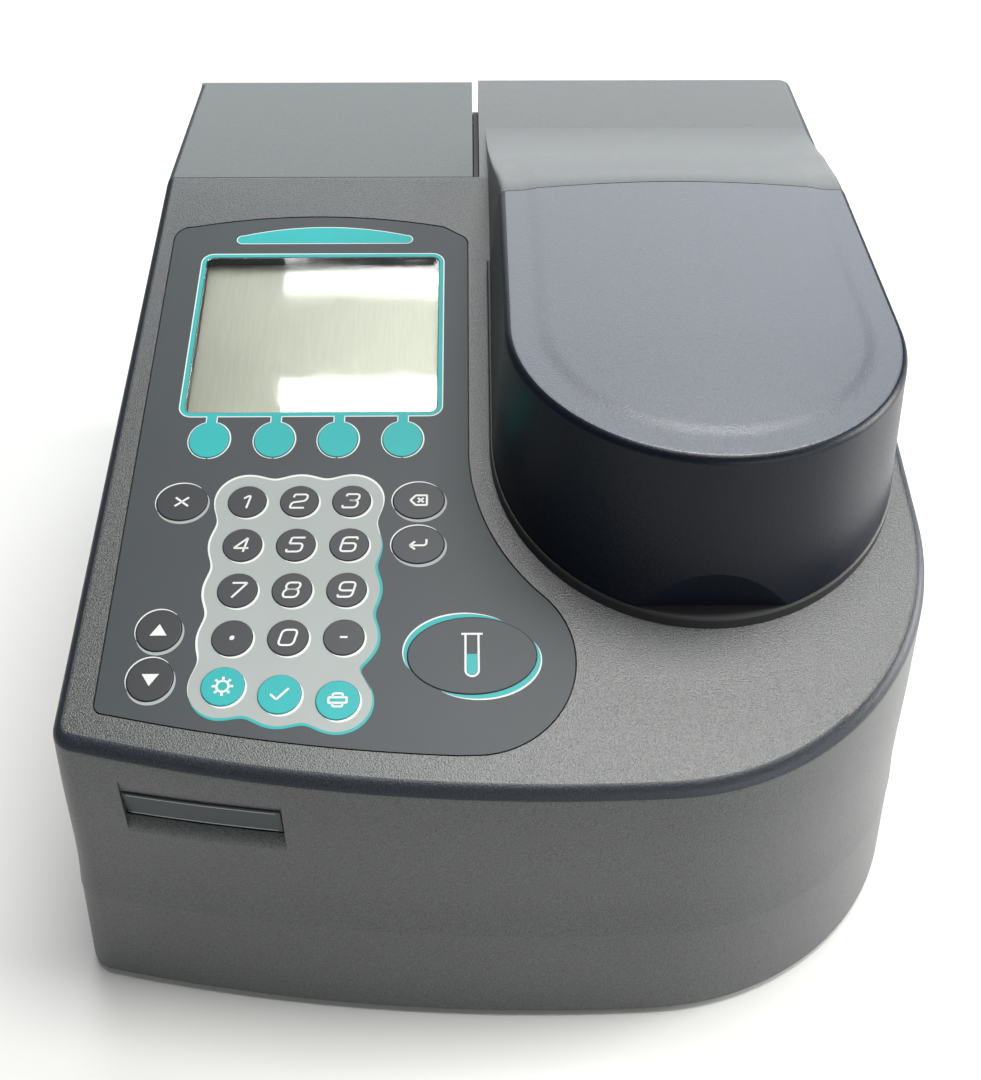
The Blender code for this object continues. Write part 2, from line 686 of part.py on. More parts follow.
def lamp_lens(glass):
    rings = []
    for x, radius in ((75.6, 6.0), (76.9, 9.0), (78.0, 11.0), (80.0, 11.0), (81.1, 9.0), (82.4, 6.0)):
        rings.append([(x, y, z) for y, z in circle((GRATING_Y, BEAM_Z), radius, 20)])
    return finish(loft("lens", rings), "lamp_lens", glass)


def lamp_housing(steel):
    item = block("box", (92, 129, BENCH_TOP + GAP), (134, 171, 148))
    cut(item, block("inside", (94, 131, BENCH_TOP + 2.3), (132, 169, 160)))
    cut(item, cylinder_along("port", "X", (GRATING_Y, BEAM_Z), 7.0, 88, 98, 16))
    return finish(item, "lamp_housing", steel)


def lamp_bulb(glass):
    centre = (113.0, GRATING_Y)
    base = BENCH_TOP + 2.6
    profile = ((0, 9.0), (12, 9.0), (12.5, 5.0), (15, 6.5), (30, 6.5), (35, 3.0))
    rings = [[(x, y, base + z) for x, y in circle(centre, radius, 16)] for z, radius in profile]
    return finish(loft("bulb", rings), "lamp_bulb", glass)


def diffraction_grating(mirror):
    centre = (BEAM_X, GRATING_Y)
    item = cylinder_along("table", "Z", centre, 12.0, BENCH_TOP + 0.5, 99, 20)
    grating = block("grating", (-10, -3, 98), (10, 3, 130))
    turn = Matrix.Rotation(math.radians(-45), 4, "Z")
    grating.matrix_world = Matrix.Translation(Vector((*centre, 0)) * MM) @ turn
    join(item, grating)
    cut(item, cylinder_along("bore", "Z", centre, 2.4, 90, 97.5, 12))
    set_origin(item, (*centre, BENCH_TOP))
    return finish(item, "diffraction_grating", mirror)


def detector_board(green):
    item = block("board", (14, -132.5, 99), (50, -131, 133))
    join(item, cylinder_along("sensor", "Y", (BEAM_X, BEAM_Z), 4.5, -131.5, -123.5, 16))
    return finish(item, "detector_board", green)


# ---------------------------------------------------------------- electronics and rear panel


def main_board(green):
    item = block("board", (-150, -150, 20), (-12, 50, 21.6))
    for x in (-144, -18):
        for y in (-144, 44):
            join(item, cylinder_along("standoff", "Z", (x, y), 3.0, 6.6, 20.5, 8))
    chips = [(-120, -100, 30, 30), (-60, -90, 22, 40), (-110, -20, 40, 14)]
    chips += [(-50, 0, 24, 24), (-140, 20, 20, 20)]
    for x, y, wide, deep in chips:
        join(item, block("chip", (x, y, 21), (x + wide, y + deep, 25)))
    return finish(item, "main_board", green)


def power_supply(steel):
    item = block("tray", (-150, 70, 6.6), (-56, 176, 9))
    join(item, block("transformer", (-140, 80, 8), (-90, 130, 48)))
    join(item, block("heat_sink", (-82, 76, 8), (-76, 170, 50)))
    for y in (84, 100, 116, 132, 148):
        join(item, block("fin", (-77, y, 20), (-64, y + 3, 46)))
    join(item, cylinder_along("capacitor", "Z", (-118, 154), 11.0, 8, 42, 16))
    return finish(item, "power_supply", steel)


def rear_panel(steel):
    outline = rectangle(-146, 146, 8, 156)
    rings = [[(x, y, z) for x, z in outline] for y in (PANEL_Y, PANEL_Y + PANEL_THICK)]
    item = loft("panel", rings)
    cut(item, block("inlet_hole", (INLET_X - 14.4, 190, 25.6), (INLET_X + 14.4, 210, 84.4)))
    for x, half in ((-60.0, 10.4), (0.0, 28.4)):
        cut(item, block("port_hole", (x - half, 190, PORT_Z - 5.4), (x + half, 210, PORT_Z + 5.4)))
    cx, cz = FAN_CENTRE
    for k in range(-3, 4):
        half = math.sqrt(27**2 - (7.5 * k) ** 2)
        cut(item, block("vent", (cx - half, 190, cz + 7.5 * k - 2), (cx + half, 210, cz + 7.5 * k + 2)))
    return finish(item, "rear_panel", steel)


def power_inlet(black):
    """Mains inlet and the frame of the rocker switch, in one moulding."""
    x = INLET_X
    item = block("body", (x - 14, 182, 26), (x + 14, 201.5, 84))
    join(item, block("flange", (x - 16.5, 201.0, 23.5), (x + 16.5, 203.2, 86.5)))
    cut(item, block("socket", (x - 11.5, 188, 31), (x + 11.5, 210, 48)))
    cut(item, block("rocker_well", (x - 10.5, 188, 58), (x + 10.5, 210, 80)))
    return finish(item, "power_inlet", black)


def power_rocker(black):
    """Rocker of the mains switch, shown tipped to off."""
    axis = (199.0, 69.0)
    reach, half = 10.0, 9.8
    profile = [(-7.5, -4), (3.6, -reach), (2.4, 0), (3.6, reach), (-7.5, 4)]
    turn = math.radians(8)
    rings = []
    for x in (INLET_X - half, INLET_X + half):
        ring = []
        for y, z in profile:
            y_turned = y * math.cos(turn) - z * math.sin(turn)
            z_turned = y * math.sin(turn) + z * math.cos(turn)
            ring.append((x, axis[0] + y_turned, axis[1] + z_turned))
        rings.append(ring)
    item = loft("rocker", rings)
    set_origin(item, (INLET_X, *axis))
    return finish(item, "power_rocker", black, 20)


def dsub_port(name, x, half, metal):
    """D-shaped data connector."""
    item = block("flange", (x - half - 6, 194.5, PORT_Z - 6.2), (x + half + 6, 197.9, PORT_Z + 6.2))
    rings = []
    for y in (196.0, 203.4):
        low, high = PORT_Z - 4.2, PORT_Z + 4.2
        lower = [(x - half + 1.6, y, low), (x + half - 1.6, y, low)]
        rings.append(lower + [(x + half, y, high), (x - half, y, high)])
    join(item, loft("shell", rings))
    join(item, block("body", (x - half + 1, 186, PORT_Z - 4), (x + half - 1, 195, PORT_Z + 4)))
    return finish(item, name, metal)


def fan_frame(black):
    cx, cz = FAN_CENTRE
    half, back = FAN_SIZE / 2, PANEL_Y - GAP
    outline = rectangle(cx - half, cx + half, cz - half, cz + half, 4.0, 2)
    item = loft("frame", [[(x, y, z) for x, z in outline] for y in (back - FAN_THICK, back)])
    cut(item, cylinder_along("duct", "Y", FAN_CENTRE, 28.0, 170, 210, 32))
    join(item, cylinder_along("hub", "Y", FAN_CENTRE, 11.0, back - FAN_THICK, back - FAN_THICK + 2, 20))
    for k in range(3):
        strut = block("strut", (8, back - FAN_THICK, -1.5), (29, back - FAN_THICK + 2, 1.5))
        turn = Matrix.Rotation(math.radians(120 * k + 90), 4, "Y")
        strut.matrix_world = Matrix.Translation(Vector((cx, 0, cz)) * MM) @ turn
        join(item, strut)
    return finish(item, "fan_frame", black)


def fan_rotor(black):
    cx, cz = FAN_CENTRE
    front, back = PANEL_Y - GAP - FAN_THICK + 2.6, PANEL_Y - GAP - 0.8
    item = cylinder_along("hub", "Y", FAN_CENTRE, 11.0, front, back, 20)
    for k in range(7):
        rings = []
        for radius, tilt in ((9.5, 38), (26.5, 24)):
            lean = math.tan(math.radians(tilt))
            low, high = front + 0.6, back - 0.6
            deep = (high - low) * lean
            ring = [(radius, low, 0.0), (radius, low, 1.2), (radius, high, deep + 1.2), (radius, high, deep)]
            rings.append(ring)
        blade = loft("blade", rings)
        turn = Matrix.Rotation(math.radians(360 * k / 7), 4, "Y")
        blade.matrix_world = Matrix.Translation(Vector((cx, 0, cz)) * MM) @ turn
        join(item, blade)
    set_origin(item, (cx, front, cz))
    return finish(item, "fan_rotor", black)


# ---------------------------------------------------------------- accessory bay


def printer_bay(black):
    """Open tray under the bay cover; its front and right walls reach up behind the deck's edges."""
    wall, low_x, high_x, low_y, high_y = 2.2, -148.6, BAY_RIGHT_X - 0.3, BAY_FRONT_Y - 2.6, 192.4
    top, ledge = 198.8, BAY_LEDGE_Z - GAP
    item = block("tray", (low_x, low_y, BAY_FLOOR), (high_x, high_y, top))
    near, far = (low_x + wall, low_y + wall + 0.6, BAY_FLOOR + wall), (high_x - wall, high_y - wall, top + 5)
    cut(item, block("inside", near, far))
    cut(item, block("low_left", (low_x - 5, BAY_FRONT_Y - 0.2, ledge), (low_x + 10, high_y + 5, top + 5)))
    cut(item, block("low_rear", (low_x - 5, high_y - 10, ledge), (high_x + 5, high_y + 5, top + 5)))
    return finish(item, "printer_bay", black)


def printer_cover(grey):
    """Cover whose rear edge is rounded about its hinge axis."""
    top_wall = 2.5
    item = housing_solid("cover", 0.0, HOUSING_FOOT)
    slice_off(item, (COVER_RIGHT_X, 0, 0), (1, 0, 0))
    slice_off(item, (0, BAY_FRONT_Y + COVER_GAP, 0), (0, -1, 0))
    slice_off(item, (0, 0, BAY_LEDGE_Z + COVER_GAP + 0.3), (0, 0, -1))
    low = rectangle(-148.6, COVER_RIGHT_X - 2.5, BAY_FRONT_Y + COVER_GAP + 2.5, 230)
    cut(item, prism("inside", low, 170, lambda y: deck_height(y) - top_wall))
    axis = cover_axis()
    cut(item, block("behind", (-200, axis[0], 150), (0, 230, 250)))
    nose = cylinder_along("nose", "X", axis, COVER_NOSE, -150.5, COVER_RIGHT_X, 28)
    join(item, nose)
    for x in COVER_LUGS:
        pocket = cylinder_along("pocket", "X", axis, COVER_LUG_RADIUS + GAP, x - 1, x + LUG_WIDTH + 1, 28)
        low = (x - 1, axis[0] - 8, axis[1] - 10)
        cut(item, join(pocket, block("under", low, (x + LUG_WIDTH + 1, axis[0] + 8, axis[1] - 0.8))))
    cut(item, cylinder_along("bore", "X", axis, PIN_BORE, -149, -20, 12))
    set_origin(item, (COVER_RIGHT_X, *axis))
    return finish(item, "printer_cover", grey)


def cover_hinge_pin(steel):
    item = cylinder_along("pin", "X", cover_axis(), PIN_RADIUS, -148.4, -20.6, 12)
    return finish(item, "cover_hinge_pin", steel)


def build():
    remove_all()
    grey = material("housing_grey", (0.115, 0.122, 0.133), 0.42)
    lid_grey = material("lid_grey", (0.085, 0.093, 0.112), 0.38)
    dark = material("overlay_dark", (0.06, 0.064, 0.072), 0.45)
    teal = material("key_teal", (0.08, 0.50, 0.48), 0.45)
    black = material("black_plastic", (0.02, 0.02, 0.022), 0.5)
    rubber = material("rubber", (0.015, 0.015, 0.015), 0.8)
    steel = material("steel", (0.55, 0.56, 0.57), 0.35, 1.0)
    cast = material("cast_metal", (0.35, 0.36, 0.38), 0.5, 0.9)
    green = material("board_green", (0.02, 0.16, 0.08), 0.5)
    lcd = material("lcd_grey", (0.42, 0.45, 0.36), 0.35)
    glass = material("glass", (0.8, 0.85, 0.85), 0.05, 0.0, 0.35)
    mirror = material("mirror", (0.8, 0.8, 0.85), 0.1, 1.0)

    upper_housing(grey)
    base_pan(steel)
    feet(rubber)
    badge_plate(dark)
    keypad_overlay(dark)
    key_caps(dark, teal)
    lcd_window(glass)
    lcd_module(lcd)
    keypad_board(green)
    sample_lid(lid_grey)
    lid_hinge_pin(steel)
    sample_well(black)
    cell_turret(black)
    stepper("turret_motor", TURRET_CENTRE, 21.0, 58.0, WELL_FLOOR - 2.8, 2.5, 124.0, steel)
    optical_bench(cast)
    lamp_lens(glass)
    lamp_housing(steel)
    lamp_bulb(glass)
    diffraction_grating(mirror)
    stepper("grating_motor", (BEAM_X, GRATING_Y), 14.0, 58.0, BENCH_TOP - 6.3, 2.0, 97.0, steel)
    detector_board(green)
    main_board(green)
    power_supply(steel)
    rear_panel(steel)
    power_inlet(black)
    power_rocker(black)
    dsub_port("serial_port", -60.0, 9.0, steel)
    dsub_port("parallel_port", 0.0, 27.0, steel)
    fan_frame(black)
    fan_rotor(black)
    printer_bay(black)
    printer_cover(grey)
    cover_hinge_pin(steel)


build()
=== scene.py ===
"""Looks of a bench spectrophotometer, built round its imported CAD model.

Lengths are in millimetres and angles in degrees, until a mesh is made in metres. X points to the right seen
from the front, Y to the rear and Z up; the origin is on the table under the middle of the instrument.
"""

import math

import bmesh
import bpy
from mathutils import Matrix, Vector


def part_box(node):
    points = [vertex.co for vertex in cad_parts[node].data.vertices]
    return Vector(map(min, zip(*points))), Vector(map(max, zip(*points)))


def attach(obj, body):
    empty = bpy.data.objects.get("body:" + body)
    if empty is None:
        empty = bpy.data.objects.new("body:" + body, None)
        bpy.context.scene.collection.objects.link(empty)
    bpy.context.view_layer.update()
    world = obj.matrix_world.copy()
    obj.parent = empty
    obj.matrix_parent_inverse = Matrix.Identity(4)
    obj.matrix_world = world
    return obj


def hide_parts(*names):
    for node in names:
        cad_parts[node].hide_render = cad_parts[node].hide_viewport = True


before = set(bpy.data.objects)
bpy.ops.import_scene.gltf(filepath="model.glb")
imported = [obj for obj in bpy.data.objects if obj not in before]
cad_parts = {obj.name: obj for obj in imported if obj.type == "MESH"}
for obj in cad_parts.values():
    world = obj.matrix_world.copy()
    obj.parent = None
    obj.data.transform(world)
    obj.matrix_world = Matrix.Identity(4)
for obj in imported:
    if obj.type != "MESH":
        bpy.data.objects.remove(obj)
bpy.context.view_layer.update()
MM = 0.001

# Housing: plan outline at the table, wall draft, the two planes of its top, its waist and its rounded rim.
HALF_WIDTH, HALF_DEPTH, DRAFT, WALL, HOUSING_FOOT = 165.0, 204.0, 0.065, 3.0, 2.5
CORNER_CENTRE, CORNER_RADIUS = (49.9, -86.8), 115.1
BOW_RADIUS, BOW_END_ANGLE = 781.8, 272.6
LEFT_CORNER_RADIUS, REAR_CORNER_RADIUS = 13.0, 6.0
DECK_FRONT, DECK_SLOPE, BREAK_Y, REAR_SLOPE = (-174.0, 127.6), 15.8, 94.9, 2.46
WAIST_Z, WAIST_DEEPEST_Z, WAIST_END_Z = 48.0, 66.0, 108.0
WAIST_DEPTH, WAIST_LEDGE, WAIST_FADE = 1.5, 0.6, 0.6
RIM_RADIUS = 4.2

# Raised bump: the lid in front and the cowl behind it.
BUMP_X, BUMP_Y, BUMP_FOOT, BUMP_TOP = 71.1, -56.3, (77.3, 77.3), (72.3, 75.0)
LID_EDGE_Y, LID_EDGE_Z, LID_SLOPE = 46.0, 222.0, 3.3
LID_RIM, BAND_END, DOME_START, DOME_RISE, CROWN_TOP = 3.0, 9.5, 17.5, 1.5, 4.0
LID_WALL, LID_LIFT, COLLAR_HEIGHT, COLLAR_OUT, WELL_IN = 3.0, 4.5, 4.2, 0.5, 5.8
COWL_END_Y, COWL_DROP = 149.0, 0.06
LID_AXIS_Y, LID_AXIS_DROP, SEAM_BEHIND_AXIS, LID_LUG_RADIUS = 34.5, 6.8, 8.5, 3.4
PIN_BORE, WELL_REAR_Y, SCOOP_Y, SCOOP_LEAN = 1.85, 28.0, -128.2, 13.5

# Accessory bay in the rear left corner.
BAY_FRONT_Y, BAY_RIGHT_X, BAY_LEDGE_Z = 95.5, -9.5, 190.0
COVER_RIGHT_X, COVER_GAP, COVER_AXIS_Y, COVER_NOSE = -12.5, 0.5, 197.5, 6.0
COVER_LUGS, LUG_WIDTH, COVER_LUG_RADIUS = (-121.0, -47.0), 7.0, 3.1

# Control panel. U runs to the right from the middle plane, V up the slope from the deck's front edge.
PANEL_RECESS, OVERLAY_TOP = 1.3, -0.1
KEY_TOP, KEY_DEPTH, KEY_GAP, KEY_EDGE = 0.3, 3.4, 0.14, 0.32
WINDOW = (-127.6, -27.3, 142.0, 228.8)
DISPLAY_DEPTH = 5.0
DIGIT_RADII, TEAL_RADII = (7.25, 7.25), (7.5, 7.5)
DIGIT_COLUMNS, DIGIT_ROWS = (-98.6, -78.9, -59.2), (98.3, 78.5, 58.8, 39.0)
TEAL_KEYS = {"utility": (-100.0, 19.8), "test": (-80.2, 16.6), "print": (-60.1, 14.2)}
SOFT_KEYS, SOFT_V, SOFT_RADII = (-116.2, -90.8, -65.9, -40.7), 128.2, (7.8, 8.75)
OVAL_KEY, OVAL_RADII = (-13.9, 31.4), (22.7, 15.3)
INK, HIGH_INK = 0.05, 0.09

# Badge recess in the front wall.
BADGE_X, BADGE_Z, BADGE_PLATE_Z = (-135.0, -78.5), (87.0, 113.5), (94.6, 107.0)

# ---------------- camera, floor and light


def camera():
    data = bpy.data.cameras.new("camera")
    data.sensor_width, data.lens = 36.0, 44.17
    item = bpy.data.objects.new("camera", data)
    bpy.context.scene.collection.objects.link(item)
    pitch, yaw, roll = (math.radians(a) for a in (40.089, 0.938, 0.246))
    ahead = Vector((math.sin(yaw) * math.cos(pitch), math.cos(yaw) * math.cos(pitch), -math.sin(pitch)))
    right = Vector((math.cos(yaw), -math.sin(yaw), 0))
    up = right.cross(ahead)
    right, up = right * math.cos(roll) + up * math.sin(roll), up * math.cos(roll) - right * math.sin(roll)
    turn = Matrix((right, up, -ahead)).transposed().to_4x4()
    item.matrix_world = Matrix.Translation(Vector((-13.01, -473.18, 466.27)) * MM) @ turn
    bpy.context.scene.camera = item


def softbox(name, place, target, size, radiance, colour=(1, 1, 1)):
    """Rectangular light in metres, aimed at a point; its power follows from the radiance wanted."""
    data = bpy.data.lights.new(name, "AREA")
    data.shape, data.size, data.size_y = "RECTANGLE", *size
    data.energy = radiance * math.pi * size[0] * size[1]
    data.color = colour
    item = bpy.data.objects.new(name, data)
    item.location = place
    item.rotation_euler = (Vector(target) - Vector(place)).to_track_quat("-Z", "Y").to_euler()
    bpy.context.scene.collection.objects.link(item)


def lights():
    world = bpy.data.worlds.new("pale room")
    world.use_nodes = True
    world.node_tree.nodes["Background"].inputs["Color"].default_value = (0.80, 0.84, 0.90, 1)
    world.node_tree.nodes["Background"].inputs["Strength"].default_value = 0.14
    bpy.context.scene.world = world
    bpy.context.scene.view_settings.view_transform = "Standard"
    softbox("rear wall light", (0.15, 1.8, 1.15), (0.15, 0.0, 0.5), (2.4, 2.2), 2.2, (0.93, 0.975, 1.0))
    softbox("right window light", (2.0, 0.1, 0.78), (0.05, 0, 0.15), (1.2, 1.1), 13.4)
    softbox("overhead light", (0.4, 0.08, 2.2), (0.4, 0.08, 0), (1.4, 0.7), 16.2, (1.0, 0.995, 0.97))
    softbox("front room light", (1.5, -2.0, 0.7), (0.1, 0.0, 0.1), (2.4, 1.1), 3.0)
    for y, deep in ((1.275, 0.05), (0.995, 0.075)):
        softbox("ceiling lamp", (0.53, y, 2.4), (0.53, y, 0), (1.95, deep), 16.0)


# ---------------- materials


def blank(name):
    made = bpy.data.materials.new(name)
    made.use_nodes = True
    return made, made.node_tree, made.node_tree.nodes["Principled BSDF"]


def noise(tree, size, detail=2.0, stretch=(1, 1, 1)):
    """Noise whose grains are `size` mm wide; `stretch` lengthens them along an axis."""
    place = tree.nodes.new("ShaderNodeTexCoord")
    scale = tree.nodes.new("ShaderNodeMapping")
    scale.inputs["Scale"].default_value = [1 / (size * MM * s) for s in stretch]
    pattern = tree.nodes.new("ShaderNodeTexNoise")
    pattern.inputs["Scale"].default_value = 1.0
    pattern.inputs["Detail"].default_value = detail
    tree.links.new(place.outputs["Object"], scale.inputs["Vector"])
    tree.links.new(scale.outputs["Vector"], pattern.inputs["Vector"])
    return pattern.outputs["Fac"]


def remap(tree, value, low, high):
    made = tree.nodes.new("ShaderNodeMapRange")
    made.inputs["From Min"].default_value, made.inputs["From Max"].default_value = 0.3, 0.7
    made.inputs["To Min"].default_value, made.inputs["To Max"].default_value = low, high
    tree.links.new(value, made.inputs["Value"])
    return made.outputs["Result"]


def bump(tree, shader, height, depth):
    """Relief `depth` mm deep."""
    made = tree.nodes.new("ShaderNodeBump")
    made.inputs["Distance"].default_value = depth * MM
    tree.links.new(height, made.inputs["Height"])
    tree.links.new(made.outputs["Normal"], shader.inputs["Normal"])


def tint(tree, shader, value, dark, light):
    made = tree.nodes.new("ShaderNodeMix")
    made.data_type = "RGBA"
    made.inputs["A"].default_value = (*dark, 1)
    made.inputs["B"].default_value = (*light, 1)
    tree.links.new(value, made.inputs["Factor"])
    tree.links.new(made.outputs["Result"], shader.inputs["Base Color"])


def surface(name, colour, roughness, grain, relief, mottle, metallic=0.0, stretch=(1, 1, 1), specular=0.5):
    """Opaque moulded, printed, rubber or metal surface with fine grain; strong mottle follows the grain."""
    made, tree, shader = blank(name)
    shader.inputs["Metallic"].default_value = metallic
    shader.inputs["Specular IOR Level"].default_value = specular
    fine, slow = noise(tree, grain, 2.0, stretch), noise(tree, 22.0, 4.0)
    tone = remap(tree, fine if mottle > 0.3 else slow, 0.0, 1.0)
    tint(tree, shader, tone, [c * (1 - mottle) for c in colour], [c * (1 + mottle) for c in colour])
    tree.links.new(remap(tree, fine, roughness - 0.06, roughness + 0.06), shader.inputs["Roughness"])
    bump(tree, shader, fine, relief)
    return made


def glass(name, colour):
    made, tree, shader = blank(name)
    shader.inputs["Transmission Weight"].default_value = 1.0
    shader.inputs["IOR"].default_value = 1.5
    smear = noise(tree, 14.0, 3.0)
    tint(tree, shader, smear, [c * 0.97 for c in colour], colour)
    tree.links.new(remap(tree, smear, 0.02, 0.05), shader.inputs["Roughness"])
    return made


def display(name):
    """Reflective liquid crystal glass: fine pixel lines over a grey green ground."""
    made, tree, shader = blank(name)
    lines = noise(tree, 0.45, 0.0, (1, 30, 30))
    tint(tree, shader, remap(tree, lines, 0.0, 1.0), (0.56, 0.57, 0.465), (0.60, 0.61, 0.505))
    cloud = noise(tree, 30.0, 2.0)
    tree.links.new(remap(tree, cloud, 0.29, 0.34), shader.inputs["Roughness"])
    shader.inputs["Metallic"].default_value = 0.75
    return made


def materials():
    return {
        "grey": surface("moulded_grey", (0.056, 0.060, 0.060), 0.35, 0.55, 0.17, 0.6, specular=0.64),
        # painted shade: the rounded rim gets a darker, duller copy of the grey moulding, standing in for the
        # dark room it reflects
        "rim": surface("rim_painted_shade", (0.020, 0.024, 0.031), 0.40, 0.55, 0.12, 0.4, specular=0.4),
        "cover": surface("moulded_cover", (0.056, 0.064, 0.064), 0.38, 0.6, 0.10, 0.4, specular=0.55),
        "lid": surface("moulded_lid", (0.041, 0.048, 0.066), 0.34, 0.6, 0.16, 0.4, specular=1.0),
        # painted shade: the lid's wall is a near black, duller copy of the lid's own moulding
        "lid_wall": surface("lid_wall_painted_shade", (0.003, 0.005, 0.011), 0.36, 0.6, 0.06, 0.4, specular=0.25),
        "film": surface("overlay_film", (0.040, 0.047, 0.052), 0.46, 0.25, 0.002, 0.03, specular=0.3),
        "key": surface("key_film", (0.026, 0.028, 0.032), 0.42, 0.25, 0.002, 0.03, specular=0.35),
        "teal": surface("teal_ink", (0.014, 0.33, 0.33), 0.46, 0.25, 0.002, 0.03, specular=0.3),
        "white": surface("white_ink", (0.63, 0.64, 0.62), 0.46, 0.25, 0.002, 0.02, specular=0.35),
        "pale": surface("pale_ink", (0.30, 0.325, 0.315), 0.46, 0.25, 0.002, 0.02, specular=0.35),
        "window": glass("display_window", (0.97, 0.98, 0.98)),
        "display": display("display_ground"),
        "black": surface("black_plastic", (0.018, 0.018, 0.020), 0.48, 0.3, 0.008, 0.1),
        "rubber": surface("rubber", (0.014, 0.014, 0.014), 0.75, 0.6, 0.03, 0.15),
        "sheet": surface("zinc_sheet", (0.56, 0.57, 0.58), 0.34, 0.25, 0.004, 0.06, 1.0, (30, 1, 1)),
        "steel": surface("ground_steel", (0.50, 0.50, 0.52), 0.26, 0.2, 0.003, 0.05, 1.0, (20, 1, 1)),
        "cast": surface("cast_alloy", (0.40, 0.41, 0.43), 0.5, 0.8, 0.03, 0.1, 1.0),
        "board": surface("board_green", (0.02, 0.15, 0.075), 0.4, 0.9, 0.01, 0.2),
        "gold": surface("contact_gold", (0.80, 0.58, 0.22), 0.25, 0.3, 0.002, 0.05, 1.0),
        "lamp": glass("lamp_glass", (0.96, 0.98, 1.0)),
        "mirror": surface("ruled_mirror", (0.80, 0.80, 0.86), 0.12, 0.2, 0.003, 0.05, 1.0, (1, 1, 40)),
    }


# ---------------- shape helpers


def new_object(name, build):
    bmesh.ops.scale(build, vec=(MM, MM, MM), verts=build.verts)
    bmesh.ops.recalc_face_normals(build, faces=build.faces)
    mesh = bpy.data.meshes.new(name)
    build.to_mesh(mesh)
    build.free()
    item = bpy.data.objects.new(name, mesh)
    bpy.context.collection.objects.link(item)
    return item


def arc(centre, radii, start, end, steps):
    """Points on an oval, or on a circle if it is given one radius."""
    across, up = radii if isinstance(radii, tuple) else (radii, radii)
    angles = [math.radians(start + (end - start) * k / steps) for k in range(steps + 1)]
    return [(centre[0] + across * math.cos(a), centre[1] + up * math.sin(a)) for a in angles]


def oval(centre, radii, steps=48):
    return arc(centre, radii, 0, 360, steps)[:-1]


def rectangle(low_x, high_x, low_y, high_y, radius=0.0, steps=6):
    corners = [(low_x, low_y), (high_x, low_y), (high_x, high_y), (low_x, high_y)]
    if radius == 0.0:
        return corners
    outline = []
    for (x, y), start in zip(corners[1:] + corners[:1], (-90, 0, 90, 180)):
        centre = (x - radius if x == high_x else x + radius, y + radius if y == low_y else y - radius)
        outline += arc(centre, radius, start, start + 90, steps)
    return outline


def grown(radii, extra):
    return radii[0] + extra, radii[1] + extra


def level(outline, z):
    return [(x, y, z) for x, y in outline]


def upright(outline, y):
    """Outline that stands in a plane of constant Y."""
    return [(x, y, z) for x, z in outline]


def tilted(point, angle):
    """Frame at a point, turned about X."""
    return Matrix.Translation(Vector(point) * MM) @ Matrix.Rotation(math.radians(angle), 4, "X")


def skin(build, rings, material=0):
    """Closed skin through rings of equal length, capped at both ends."""
    loops = [[build.verts.new(point) for point in ring] for ring in rings]
    made = []
    for lower, upper in zip(loops, loops[1:]):
        for i in range(len(lower)):
            j = (i + 1) % len(lower)
            made.append(build.faces.new((lower[i], lower[j], upper[j], upper[i])))
    made.append(build.faces.new(loops[0][::-1]))
    made.append(build.faces.new(loops[-1]))
    for face in made:
        face.material_index = material


def loft(name, rings):
    build = bmesh.new()
    skin(build, rings)
    return new_object(name, build)


def prism(name, outline, bottom, top):
    return loft(name, [level(outline, bottom), level(outline, top)])


def block(name, low, high):
    return prism(name, rectangle(low[0], high[0], low[1], high[1]), low[2], high[2])


def bar(name, centre, radius, low, high, steps=32):
    """Round bar along X; its centre gives Y and Z."""
    outline = oval(centre, radius, steps)
    return loft(name, [[(x, y, z) for y, z in outline] for x in (low, high)])


def combine(item, tool, operation):
    change = item.modifiers.new("cut", "BOOLEAN")
    change.operation, change.solver, change.object = operation, "EXACT", tool
    depsgraph = bpy.context.evaluated_depsgraph_get()
    mesh = bpy.data.meshes.new_from_object(item.evaluated_get(depsgraph))
    item.modifiers.clear()
    item.data = mesh
    bpy.data.objects.remove(tool, do_unlink=True)
    return item


def cut(item, *tools):
    for tool in tools:
        combine(item, tool, "DIFFERENCE")
    return item


def join(item, *tools):
    for tool in tools:
        combine(item, tool, "UNION")
    return item


def split(build, point, normal, **options):
    everything = build.verts[:] + build.edges[:] + build.faces[:]
    bmesh.ops.bisect_plane(build, geom=everything, plane_co=point, plane_no=normal, **options)


def slice_off(item, point, normal):
    build = bmesh.new()
    build.from_mesh(item.data)
    split(build, Vector(point) * MM, normal, clear_outer=True)
    bmesh.ops.holes_fill(build, edges=[edge for edge in build.edges if edge.is_boundary])
    bmesh.ops.recalc_face_normals(build, faces=build.faces)
    build.to_mesh(item.data)
    build.free()


def round_edges(item, radius, steps, chosen):
    """Rounds the edges between two faces that `chosen` picks by their normals."""
    build = bmesh.new()
    build.from_mesh(item.data)
    build.normal_update()
    edges = [e for e in build.edges if len(e.link_faces) == 2 and chosen(*(f.normal for f in e.link_faces))]
    bmesh.ops.bevel(build, geom=edges, offset=radius * MM, segments=steps, profile=0.5, affect="EDGES")
    build.to_mesh(item.data)
    build.free()


def is_rim(one, other):
    return max(one.z, other.z) > 0.9 and abs(min(one.z, other.z)) < 0.5


def piece(item, name, finishes, replaced=(), body="housing", smooth=32):
    """Names a piece, gives it its materials, evens its shading and ties it to the CAD frame.

    An empty list of materials isn't cleared, as that would reset the material numbers of the faces.
    """
    item.name = item.data.name = name
    if item.data.materials:
        item.data.materials.clear()
    for finish in finishes:
        item.data.materials.append(finish)
    item.data.shade_smooth()
    item.data.set_sharp_from_angle(angle=math.radians(smooth))
    even = item.modifiers.new("even shading", "WEIGHTED_NORMAL")
    even.keep_sharp = True
    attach(item, body)
    if replaced:
        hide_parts(*replaced)
    return item


# ---------------- surfaces of the instrument


def slope(angle):
    return math.tan(math.radians(angle))


def deck_height(y):
    if y <= BREAK_Y:
        return DECK_FRONT[1] + (y - DECK_FRONT[0]) * slope(DECK_SLOPE)
    return deck_height(BREAK_Y) + (y - BREAK_Y) * slope(REAR_SLOPE)


